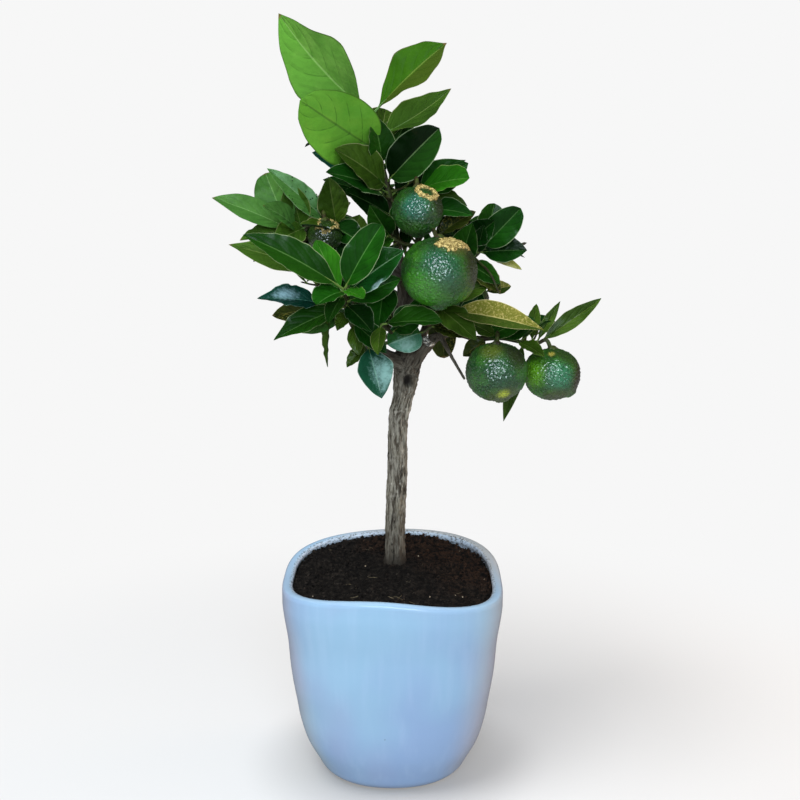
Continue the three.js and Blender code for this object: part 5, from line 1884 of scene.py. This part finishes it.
@dataclass
class Mass:
    """One mass of foliage while it grows."""

    plan: MassPlan
    stem: Line = field(init=False)
    twigs: list[Line] = field(default_factory=list)
    fine: list[Line] = field(default_factory=list)
    placed: list[Leaf] = field(default_factory=list)
    grown: list[Leaf] = field(default_factory=list)

    FINE_FILL = 0.93
    FINE_TWIGS = 3
    FINE_LEAVES = 4
    FINE_LENGTH = (24, 44)
    FINE_ROOM = 7.5
    LIME_ROOM = 2
    PLACED_FOLD = 18

    def __post_init__(self) -> None:
        """Draws the stem, the placed twigs and the placed leaves."""
        self.stem = Line.through(self.plan.stem)
        self.twigs = [side_twig(self.stem, *row) for row in self.plan.twigs]
        lines = [self.stem, *self.twigs]
        for order, row in enumerate((*self.plan.leaves, *self.plan.more)):
            twig, share, heading, lean, length, width, facing, tilt, *looks = row
            chord = aim(heading, lean)
            leaf = Leaf(lines[twig].at(share), chord, square_to(looking_to(facing, tilt), chord),
                        length, width, *looks)
            leaf.fold, leaf.seed = self.PLACED_FOLD, self.plan.grown[0] * 31 + order
            self.placed.append(leaf)

    def grow(self) -> None:
        """Grows again what the solid holds."""
        seed, count, per_twig, shortest, longest = self.plan.grown
        solid = Solid(self.plan.name)
        draw = Draw(seed)
        twigs = [GROWN_TWIG.shoot(self.stem, order, count, draw) for order in range(count)]
        for twig in (self.stem, *twigs):
            leaves = grown_leaves(twig, per_twig, shortest, longest, draw)
            if twig is not self.stem:
                if not solid.has_end(twig.at(1), TWIG_RADIUS[1]):
                    continue
                self.twigs.append(twig)
            self.grown.extend(leaf for leaf in leaves if solid.has_tip(leaf.at()))
        for order, leaf in enumerate(self.grown):
            leaf.tone = self.plan.hues[(order * 5 + seed) % len(self.plan.hues)]

    def refine(self, cover: FrontCover, limes: Sequence[Lime], balls: Balls, taken: list[Vector]) -> None:
        """Carries the growth on to finer twigs and leaves, behind the crown's face.

        Args:
            cover: the crown's face, which the finer leaves stay behind.
            limes: all the fruit, which they stay out of.
            balls: the limbs as balls, which they stay out of.
            taken: the middles of the leaves so far, added to as leaves are kept.
        """
        draw = Draw(self.plan.grown[0] * 17 + 3)
        for twig in (self.stem, *self.twigs):
            for k in range(self.FINE_TWIGS):
                shoot = FINE_TWIG.shoot(twig, k, self.FINE_TWIGS, draw)
                leaves = grown_leaves(shoot, self.FINE_LEAVES, *self.FINE_LENGTH, draw)
                kept = [leaf for leaf in leaves if self.fits(leaf, cover, limes, balls, taken)]
                if kept:
                    self.fine.append(shoot)
                for leaf in kept:
                    leaf.tone = self.plan.hues[int(draw.next() * 5.99) % len(self.plan.hues)]
                    self.grown.append(leaf)

    def fits(self, leaf: Leaf, cover: FrontCover, limes: Sequence[Lime], balls: Balls,
             taken: list[Vector]) -> bool:
        """Returns whether a finer leaf has room, and takes its place if it has."""
        middle, tip = leaf.at(leaf.MIDDLE), leaf.at()
        if not self.plan.space.holds(tip, self.FINE_FILL) or not in_cad_box(tip):
            return False
        if any((spot - middle).length < self.FINE_ROOM for spot in taken):
            return False
        if leaf.meets(balls) or not cover.hides(leaf):
            return False
        if any((spot - Vector(lime.centre)).length < lime.radius + self.LIME_ROOM
               for lime in limes for spot in (middle, tip, leaf.root)):
            return False
        taken.append(middle)
        return True

    def make(self, leaf_skins: Sequence[Material], twig_skin: Material, gold_glint_skin: Material) -> None:
        """Builds the leaves, the twigs and the fruit as pieces of their own."""
        name = self.plan.name
        sheaf = Sheaf()
        for leaf in self.placed:
            leaf.add_to(sheaf, True)
        for leaf in self.grown:
            leaf.add_to(sheaf, False)
        hand_over(sheaf.make(f"{name}_leaves", leaf_skins, 55), "foliage", name)
        self.make_twigs(twig_skin)
        if self.plan.limes:
            self.make_limes(gold_glint_skin)

    def make_twigs(self, skin: Material) -> None:
        """Builds the stem, the twigs, the stalks and the bare twigs."""
        sheaf = Sheaf()
        thick, thin = self.plan.thick, TWIG_RADIUS[1]
        sheaf.add_rings(self.stem.rings(18, 9, lambda share: mix(thick, thin, share**0.7)), 0, 0.9,
                        self.stem.at(1) + self.stem.direction(1) * 2.5)
        for order, twig in enumerate(self.twigs):
            sheaf.add_rings(twig.rings(10, 7, lambda share: mix(*TWIG_RADIUS, share)), 0,
                            (order * 0.37) % 1, twig.at(1) + twig.direction(1) * 2)
        for order, twig in enumerate(self.fine):
            sheaf.add_rings(twig.rings(4, 5, lambda share: mix(1.0, 0.6, share)), 0,
                            (order * 0.53) % 1, twig.at(1) + twig.direction(1) * 1.5)
        for lime in self.plan.limes:
            stalk = lime.stalk(self.stem)
            sheaf.add_rings(stalk.rings(14, 8, lambda share: mix(1.4, 1.7, share)), 0, 0.2)
            lime.add_button(sheaf)
        for bare in self.plan.bare:
            line = Line.through(bare.points)
            sheaf.add_rings(line.rings(12, 7, lambda share: mix(*bare.radius, share)), 0, 0.95)
        hand_over(sheaf.make(f"{self.plan.name}_twigs", [skin]), "bark", self.plan.name)

    def make_limes(self, gold_glint_skin: Material) -> None:
        """Builds the fruit."""
        bm = bmesh.new()
        skins = []
        # The crusts carry the painted gold highlight.
        for lime in self.plan.limes:
            if lime.gold_glint:
                lime.add_gold_glint(bm, len(self.plan.limes))
        for order, lime in enumerate(self.plan.limes):
            fruit = bmesh.new()
            lime.add_to(fruit, order)
            join_into(bm, fruit)
            skins.append(lime.rind.material(f"{self.plan.name}_rind_{order + 1}",
                                            Vector(lime.centre), lime.radius))
        bmesh.ops.recalc_face_normals(bm, faces=bm.faces)
        piece = finished(f"{self.plan.name}_limes", bm, [*skins, gold_glint_skin], 180)
        hand_over(piece, "foliage", self.plan.name)


GREEN_RIND = RindFinish("#2f6417", "#184010")
SHADED_RIND = RindFinish("#2c4713", "#1c300d")
# Big lime: a bluish painted reflection at the front, painted bounce light low on the left, painted shade on
# the right side, darker on top, and a painted warm fringe round the gold highlight.
BIG_RIND = RindFinish("#33700f", "#1a4a12", (
    LightAndTintPatch((0.0, -0.95, 0.25), 0.2, 0.85, "#1b5640", 0.8),
    LightAndTintPatch((-0.5, -0.75, -0.45), 0.2, 0.85, "#378510", 0.8),
    LightAndTintPatch((0.98, -0.2, 0.15), 0.35, 0.85, "#2b250f", 0.9),
    LightAndTintPatch((-0.3, -0.2, 0.95), 0.2, 0.7, "#12350c", 0.7),
    LightAndTintPatch((0.36, -0.4, 0.85), 0.3, 0.58, "#4d4a1e", 0.85, 0.3),
))
# Small lime: a bluish painted reflection at the front, painted shade on the right side, darker at the upper
# left, and painted bounce light low at the front.
SMALL_RIND = RindFinish("#296216", "#143d12", (
    LightAndTintPatch((-0.1, -0.95, 0.2), 0.25, 0.8, "#1f6652", 0.8),
    LightAndTintPatch((0.95, -0.3, 0.3), 0.35, 0.85, "#25250e", 0.85),
    LightAndTintPatch((-0.6, -0.3, 0.75), 0.2, 0.7, "#173a0d", 0.7),
    LightAndTintPatch((-0.2, -0.7, -0.7), 0.2, 0.6, "#2f5c12", 0.6),
))
# This lime: a bluish painted reflection at the front, a yellowish patch on top, painted shade at the upper
# right, a yellow-olive patch underneath and a small bright yellow-green spot low at the front.
NIPPLED_RIND = RindFinish("#2f681d", "#18431a", (
    LightAndTintPatch((0.05, -0.95, 0.2), 0.2, 0.75, "#1a4e36", 0.65),
    LightAndTintPatch((-0.2, -0.5, 0.85), 0.2, 0.6, "#5f6e22", 0.75, 0.3),
    LightAndTintPatch((0.6, -0.4, 0.6), 0.25, 0.75, "#26280f", 0.85, 0.3),
    LightAndTintPatch((0.2, -0.5, -0.9), 0.35, 0.75, "#4a5518", 0.7),
    LightAndTintPatch((0.2, -0.72, -0.66), 0.06, 0.3, "#a9b81e", 0.95, 0.1),
))
# Right lime: a bluish painted reflection at the front, dark brown painted shade on the right side, bright
# green painted light on the left, an olive patch underneath, darker at the upper right, and a small painted
# gold highlight on top.
RIGHT_RIND = RindFinish("#38780f", "#1c4b10", (
    LightAndTintPatch((0.2, -0.95, 0.1), 0.2, 0.8, "#2c7854", 0.85),
    LightAndTintPatch((0.93, -0.25, -0.1), 0.35, 0.85, "#2f1b0a", 0.9),
    LightAndTintPatch((-0.8, -0.55, 0.15), 0.25, 0.75, "#5c9a0c", 0.9),
    LightAndTintPatch((0.1, -0.6, -0.8), 0.3, 0.7, "#41421a", 0.7),
    LightAndTintPatch((0.5, -0.4, 0.8), 0.25, 0.75, "#2a3a10", 0.7),
    LightAndTintPatch((-0.1, -0.5, 0.86), 0.06, 0.2, "#b2a544", 0.9),
))

MASSES = (
    MassPlan(
        "top_foliage", ((4, 12, 432), (-2, 7, 470), (-10, 1, 505), (-15, -1, 533)),
        Space((-20, 0, 525), (130, 90, 125)), 3.4,
        ((0.3, 25, 5, 24), (0.2, 15, 25, 26)),
        (
         (0, 0.98, 133, -14, 110, 56, -32, -22, 26, FRESH, BROAD),
         (0, 1, 43, 3, 77, 40, -30, 30, 18, SHADED_BROWN_HALF, HOOKED),
         (0, 0.8, 32, -18, 72, 32, 10, 58, -26, OLIVE, DRIP),
         (0, 0.66, 146, 33, 82, 54, -8, 4, 24, LIME, ROUND),
         (0, 0.4, 142, 40, 65, 34, 0, 30, 26, MOSS),
         (0, 0.54, 64, -34, 52, 32, 10, 10, 20, FOREST),
         (0, 0.44, 46, 24, 63, 34, 15, 24, 24, DEEP_LIT_HALF, ROUND),
         (0, 0.36, 158, 48, 74, 30, -10, 28, 22, DARK),
         (0, 0.48, 162, -6, 60, 26, 0, 28, 18, TEAL),
         (0, 0.3, 163, -24, 62, 24, 0, 40, 18, DARK),
         (1, 1, 14, 31, 46, 28, 12, 40, 24, GRASS, ROUND),
         (2, 1, 356, 30, 44, 20, 10, 40, 30, DARK),
         (1, 0.7, 350, 14, 46, 20, 0, 50, 30, MOSS),
         (0, 0.56, 100, 30, 44, 24, 20, 8, 24, FOREST),
         (0, 0.34, 30, -30, 56, 30, 10, 40, 26, DEEP),
         (0, 0.24, 150, -40, 58, 28, -10, 40, 26, DARK),
         (0, 0.26, 10, -50, 54, 28, 20, 50, 26, GRASS),
         (0, 0.7, 80, -60, 60, 32, 10, 30, 20, MOSS),
         (0, 0.2, 150, 30, 50, 26, -10, 30, 20, DEEP),
         (1, 0.9, 28, 2, 46, 28, 0, 10, 20, BRIGHT),
        ),
        grown=(11, 2, 3, 34, 54),
        hues=(DARK, FOREST, BRIGHT, FOREST, MOSS, DARK),
    ),
    MassPlan(
        "upper_left_foliage", ((-30, 8, 437), (-52, 13, 450), (-68, 8, 447), (-80, 3, 445)),
        Space((-85, -2, 446), (80, 70, 70)), 2.5,
        ((0.55, 262, 15, 12),),
        (
         (0, 0.28, 136, 24, 70, 20, -10, 30, 22, SPOTTED),
         (0, 1, 113, -8, 48, 33, -10, 15, 16, MID, ROUND),
         (0, 0.96, 157, 10, 66, 24, 0, 38, 22, MID),
         (0, 0.84, 138, 50, 47, 22, -15, 30, 25, MID),
         (0, 0.74, 102, 20, 36, 24, -5, 10, 15, OLIVE, ROUND),
         (0, 0.7, 190, 20, 52, 24, 0, 60, 20, OLIVE),
         (0, 0.62, 215, -20, 48, 22, -10, 60, 20, DARK),
         (0, 0.2, 98, 14, 42, 26, 0, 24, 20, MOSS),
         (0, 0.16, 258, 10, 44, 26, 10, 30, 20, DARK),
        ),
        (Lime((-52, -7, 442), 13.2, 0.4, SHADED_RIND, 6, (0, 0, -1),
               GoldGlintCrust((0.2, -0.45, 0.87), 50, 34, 0.6, 0.5)),),
        more=(
         (0, 0.66, 203, 50, 38, 24, 0, 20, 20, OLIVE),
         (0, 0.05, 160, 47, 56, 20, 0, 62, 20, MOSS),
         (0, 0.3, 332, 31, 38, 24, 10, 30, 20, DARK),
        ),
        grown=(23, 2, 3, 32, 46),
        hues=(MOSS, DARK, OLIVE, FOREST, DARK, FOREST),
    ),
    MassPlan(
        "left_front_foliage", ((-30, -31, 377), (-34, -42, 389), (-36, -54, 400), (-35, -64, 407)),
        Space((-62, -50, 392), (100, 72, 90)), 3.1,
        ((0.66, 128, -5, 24), (0.45, 180, -20, 16)),
        (
         (0, 1, 150, 10, 84, 29, -5, 42, 26, FOREST),
         (1, 1, 164, -1, 73, 23, 0, 26, 18, OLIVE, DRIP),
         (0, 0.96, 60, 8, 57, 28, -15, 20, 25, BRIGHT, ROUND),
         (0, 0.92, 198, 55, 34, 24, -15, 40, 30, BRIGHT, ROUND),
         (0, 0.97, 349, 58, 29, 14, 10, 52, 20, GRASS, ROUND),
         (1, 0.6, 147, -13, 28, 16, 0, 30, 15, OLIVE),
         (0, 0.72, 37, 7, 57, 34, 5, 42, 20, SLATE),
         (0, 0.5, 23, -10, 46, 24, 5, 30, 20, BRIGHT),
         (2, 1, 172, 22, 54, 24, 0, 48, 24, TEAL, DRIP),
         (2, 0.5, 191, -20, 54, 20, 0, 20, 20, UMBER),
         (0, 0.42, 204, 12, 60, 24, -10, 46, 24, FOREST, DRIP),
         (0, 0.25, 200, -2, 42, 22, -5, 30, 22, MID),
         (0, 0.3, 240, 46, 21, 12, 0, 20, 20, MOSS),
         (2, 0.75, 267, 6, 47, 12, -60, 10, 14, MOSS, LANCE),
         (0, 0.48, 320, 40, 36, 22, 10, 40, 24, DEEP),
         (0, 0.8, 120, -30, 50, 24, -20, 30, 20, GRASS),
        ),
        more=(
         (0, 0.06, 320, 24, 38, 20, 5, 35, 20, DARK),
         (0, 0.02, 282, 20, 26, 13, -5, 25, 20, MOSS),
        ),
        grown=(37, 2, 3, 30, 44),
    ),
    MassPlan(
        "low_front_foliage", ((11, 2, 348), (6, -18, 360), (-2, -36, 372), (-8, -50, 379)),
        Space((4, -42, 362), (66, 60, 62)), 2.2,
        ((0.42, 187, 6, 24), (0.38, 24, 0, 28)),
        (
         (0, 1, 5, 18, 48, 30, 5, 64, 20, FOREST),
         (2, 0.75, 195, 30, 33, 27, 0, 20, 16, SKY_LIT_HALF, ROUND),
         (1, 0.98, 286, 25, 45, 29, 10, 18, 14, MILKY_SHEEN),
         (1, 1, 229, 12, 24, 12, -20, 20, 20, MOSS),
         (2, 1, 347, 37, 32, 16, 10, 40, 22, UMBER),
         (0, 0.6, 40, 20, 36, 24, 10, 30, 20, DARK),
        ),
        grown=(41, 0, 2, 28, 38),
    ),
    MassPlan(
        "middle_foliage", ((8, 13, 398), (13, -4, 416), (19, -12, 440), (17, -10, 478)),
        Space((28, -30, 430), (125, 85, 90)), 2.6,
        ((0.24, 318, 32, 44), (0.62, 24, 2, 24), (0.6, 158, 18, 24), (0.2, 180, 22, 26)),
        (
         (1, 1, 353, 28, 84, 25, 8, 40, 26, TAN, DRIP),
         (1, 0.78, 324, 42, 50, 24, 10, 30, 22, MOSS),
         (3, 1, 236, 58, 40, 24, -20, 20, 20, FOREST),
         (3, 0.9, 121, 43, 42, 22, -20, 25, 20, FOREST),
         (2, 0.7, 32, -6, 36, 18, 0, 45, 26, UMBER),
         (4, 1, 210, 30, 42, 26, 0, 40, 22, BRIGHT),
         (4, 0.7, 262, 40, 44, 26, 0, 20, 24, BRIGHT),
         (1, 0.8, 20, -10, 46, 22, 20, 50, 24, MOSS),
        ),
        (
            Lime((35, -52, 419), 28.2, 0.6, BIG_RIND, 7, (0, 0, -1),
                 GoldGlintCrust((0.38, -0.38, 0.86), 29, 2, 0.4, 0.45, 0.52), 0.05),
            Lime((19, -34, 463), 19.2, 0.98, SMALL_RIND, 7, (0, 0, -1),
                 GoldGlintCrust((0.39, -0.42, 0.82), 31, 16)),
        ),
        grown=(53, 2, 3, 32, 46),
    ),
    MassPlan(
        "right_foliage", ((65, -13, 362), (84, -20, 364), (99, -27, 362), (112, -28, 361)),
        Space((108, -26, 350), (88, 64, 88)), 2.6,
        ((0.75, 35, -85, 22),),
        (
         (0, 1, 35, -6, 60, 15, 0, 28, -12, MOSS),
         (0, 0.97, 59, -15, 38, 9, -10, 25, 12, MOSS, LANCE),
         (0, 0.88, 80, -34, 34, 11, -15, 5, 14, MOSS),
         (0, 0.28, 28, 11, 33, 22, 0, 30, 24, FOREST),
         (0, 0.6, 340, 60, 38, 13, 10, 30, 20, MOSS),
         (1, 1, 257, 2, 70, 15, 0, 10, 8, MOSS, LANCE),
         (0, 0.16, 216, 4, 24, 15, 0, 25, 20, UMBER),
         (0, 0.2, 20, -60, 46, 22, 20, 40, 22, DARK),
        ),
        (
            Lime((79, -45, 343), 23.2, 0.3, NIPPLED_RIND, 7, (0.22, -0.1, -1)),
            Lime((123, -31, 338), 21.7, 1, RIGHT_RIND, 7, (0.75, -0.1, -0.75), None, 0.05),
        ),
        more=(
         (0, 0.1, 27, 20, 44, 18, 0, 30, 20, FOREST),
         (0, 0.3, 152, 18, 40, 16, 0, 40, 20, MOSS),
        ),
        grown=(68, 1, 2, 30, 40),
    ),
    MassPlan(
        "upper_right_foliage", ((47, 5, 417), (58, 4, 421), (67, 3, 427), (73, 5, 436)),
        Space((72, 5, 420), (66, 62, 62)), 2.4,
        ((0.35, 82, 0, 14), (0.5, 290, -10, 30)),
        (
         (0, 0.8, 48, 14, 45, 26, 10, 20, 20, DARK, ROUND),
         (0, 0.95, 77, -2, 32, 24, 10, 10, 16, FOREST, ROUND),
         (1, 1, 46, 34, 32, 22, -10, 12, 18, DEEP),
         (0, 0.65, 81, 33, 29, 14, -15, 10, 16, DEEP),
         (1, 0.8, 116, 5, 22, 12, -20, 10, 14, DEEP),
         (0, 1, 77, -22, 30, 20, 10, 12, 14, FOREST, ROUND),
         (0, 0.72, 338, 10, 36, 10, 10, 40, 16, BUD),
         (0, 0.98, 56, -44, 35, 24, 10, 10, 14, FOREST),
         (2, 1, 11, -10, 22, 14, 0, 40, 22, TAN),
         (2, 0.8, 250, 10, 40, 20, 0, 40, 22, DARK),
         (0, 0.3, 320, 30, 40, 22, 10, 50, 22, UMBER),
         (0, 0.2, 60, -40, 44, 24, 10, 40, 22, DARK),
         (0, 0.7, 4, 14, 38, 26, 10, 30, 20, DEEP),
        ),
        (),
        (Bare(((64, 0, 424), (75, -16, 414), (82, -21, 399)), (1.1, 0.7)),),
        more=(
         (0, 0.3, 330, 31, 36, 18, 10, 20, 20, FOREST),
         (0, 0.2, 77, 32, 40, 24, -10, 20, 20, FOREST),
        ),
        grown=(72, 2, 3, 30, 42),
    ),
    MassPlan(
        "back_left_foliage", ((-22, 44, 404), (-34, 54, 412), (-46, 62, 420), (-56, 66, 430)),
        Space((-44, 66, 418), (76, 76, 66)), 2.5,
        limes=(Lime((-24, 80, 394), 19, 0.35, GREEN_RIND),), grown=(83, 6, 7, 36, 60),
    ),
    MassPlan(
        "back_right_foliage", ((36, 45, 384), (42, 56, 396), (46, 64, 410), (48, 66, 424)),
        Space((48, 64, 396), (66, 76, 72)), 2.6,
        leaves=((0, 0.12, 275, -5, 54, 25, 0, 5, 14, UMBER, ROUND),),
        limes=(Lime((60, 84, 378), 22, 0.3, RIGHT_RIND),), grown=(97, 6, 7, 36, 60),
    ),
    MassPlan(
        "back_top_foliage", ((6, 13, 424), (2, 30, 440), (-2, 42, 458), (-4, 48, 474)),
        Space((-2, 50, 462), (72, 76, 60)), 2.4,
        grown=(101, 5, 9, 36, 58),
        hues=(DARK, FOREST, BRIGHT, DARK, FOREST, MOSS),
    ),
    MassPlan(
        "back_low_foliage", ((12, 12, 350), (4, 28, 360), (-8, 40, 366), (-18, 48, 368)),
        Space((-8, 52, 374), (70, 68, 46)), 2.4,
        grown=(113, 5, 8, 32, 50),
    ),
)


@dataclass
class Crown:
    """All the masses of foliage, grown together so that they keep clear of each other."""

    wood: Wood
    viewer: Viewer
    twig_skin: TwigFinish = TwigFinish("green_shoots", "#42501f", "#33291a")
    # The painted gold highlight on the limes' crusts.
    gold_glint_skin: GrainFinish = GOLD_GLINT_SKIN

    def make(self) -> None:
        """Grows every mass, fills the crown and builds the pieces."""
        masses = [Mass(plan) for plan in MASSES]
        cover = FrontCover(self.viewer)
        limes = [lime for mass in masses for lime in mass.plan.limes]
        taken: list[Vector] = []
        for mass in masses:
            mass.grow()
            for leaf in (*mass.placed, *mass.grown):
                cover.add_leaf(leaf)
                taken.append(leaf.at(leaf.MIDDLE))
        for lime in limes:
            cover.add_ball(lime.centre, lime.radius)
        balls = self.wood.balls()
        for mass in masses:
            before = len(mass.grown)
            mass.refine(cover, limes, balls, taken)
            LOG.info("%s: %d placed, %d grown and %d finer leaves", mass.plan.name,
                     len(mass.placed), before, len(mass.grown) - before)
        skins = [tone.value.material(f"leaf_{tone.name.lower()}") for tone in TONES]
        twig_skin, gold_glint_skin = self.twig_skin.material(), self.gold_glint_skin.material()
        for mass in masses:
            mass.make(skins, twig_skin, gold_glint_skin)


# Studio

@dataclass(frozen=True)
class Softbox:
    """One soft lamp: where it stands, what it is aimed at, its size, power and colour."""

    name: str
    place: Point
    target: Point
    size: float
    power: float
    colour: Point
    shines: bool = True

    def make(self) -> None:
        """Hangs the lamp."""
        lamp = bpy.data.lights.new(self.name, "AREA")
        lamp.shape = "DISK"
        lamp.size = self.size
        lamp.energy = self.power
        lamp.color = self.colour
        holder = in_scene(self.name, lamp)
        holder.location = self.place
        away = Vector(self.target) - Vector(self.place)
        holder.rotation_euler = away.to_track_quat("-Z", "Y").to_euler()
        holder.visible_glossy = self.shines


@dataclass
class Studio:
    """A pale floor under soft light, against an even pale backdrop."""

    backdrop: str = "#f7f7f7"
    floor_size: float = 8.0
    floor_tint: float = 0.70
    # Painted shadow: the floor is darker within this reach round the pot's foot, by the share below.
    painted_shadow_reach: Pair = (0.06, 0.135)
    painted_shadow_depth: float = 0.64
    fade: Pair = (0.24, 0.62)
    near_glow: float = 0.2
    sky: Point = (0.94, 0.97, 1.0)
    sky_power: float = 0.54
    sky_shine: float = 0.06
    floor_shine: float = 0.22
    horizon: Pair = (0.02, -0.1)
    lamps: tuple[Softbox, ...] = (
        Softbox("left_key", (-0.8, -0.75, 2.5), (0, 0, 0.3), 1.5, 50, (1.0, 0.99, 0.97), False),
        Softbox("front_sky", (0.1, -2.1, 1.2), (0.02, 0, 0.4), 1.2, 29, (0.78, 0.9, 1.0)),
        Softbox("warm_side", (1.1, 0.3, 0.25), (0.05, 0, 0.15), 0.5, 5, (1.0, 0.6, 0.32), False),
    )

    def make(self) -> None:
        """Lays the floor, hangs the lamps and sets the sky."""
        bm = bmesh.new()
        bmesh.ops.create_grid(bm, x_segments=2, y_segments=2, size=self.floor_size / 2)
        floor = finished("floor", bm, [self.floor_material()])
        floor.visible_glossy = False
        for lamp in self.lamps:
            lamp.make()
        self.set_sky()
        bpy.context.scene.view_settings.view_transform = "Standard"

    def floor_material(self) -> Material:
        """Builds the floor: it takes shadows near the pot, has a painted shadow round the pot's foot, and
        melts into the backdrop.
        """
        sheet = NodeSheet("pale_floor", 0.9, 0.0)
        away = sheet.add("VectorMath", "Value", {0: sheet.point}, operation="LENGTH")
        near, far = self.floor_tint * self.painted_shadow_depth, self.floor_tint
        # Painted shadow round the pot's foot.
        sheet.lay(sheet.step(away, *self.painted_shadow_reach), (far, far, far, 1.0), (near, near, near, 1.0))
        glow = sheet.add("Emission", 0, {"Color": self.backdrop})
        share = sheet.step(away, *self.fade, self.near_glow, 1.0)
        melt = sheet.add("MixShader", 0, {0: share, 1: sheet.shader.outputs["BSDF"], 2: glow})
        sheet.feed(sheet.surface, melt)
        return sheet.material

    def set_sky(self) -> None:
        """Sets an even backdrop for the eye and a soft blue sky for the light."""
        world = bpy.data.worlds.new("sky")
        world.use_nodes = True
        bpy.context.scene.world = world
        sky = Nodes(world.node_tree)
        seen = sky.add("Background", 0, {"Color": self.backdrop})
        way = sky.add("TexCoord", "Generated", {})
        below = sky.add("MapRange", "Result", {
            "Value": sky.add("SeparateXYZ", "Z", {0: way}), "From Min": self.horizon[0],
            "From Max": self.horizon[1], "To Min": self.sky_power * self.sky_shine,
            "To Max": self.floor_shine})
        power = sky.add("MapRange", "Result", {
            "Value": sky.add("LightPath", "Is Glossy Ray", {}), "To Min": self.sky_power, "To Max": below})
        light = sky.add("Background", 0, {"Color": (*self.sky, 1.0), "Strength": power})
        to_eye = sky.add("LightPath", "Is Camera Ray", {})
        choice = sky.add("MixShader", 0, {0: to_eye, 1: light, 2: seen})
        sky.feed(world.node_tree.nodes.new("ShaderNodeOutputWorld").inputs["Surface"], choice)


def main() -> None:
    """Builds the whole plant and its studio."""
    logging.basicConfig(level=logging.INFO, format="%(name)s: %(message)s")
    viewer = Viewer()
    viewer.make()
    Studio().make()
    pot = Pot()
    pot.make()
    Soil(pot).make()
    wood = Wood()
    wood.make()
    Crown(wood, viewer).make()


if __name__ == "__main__":
    main()
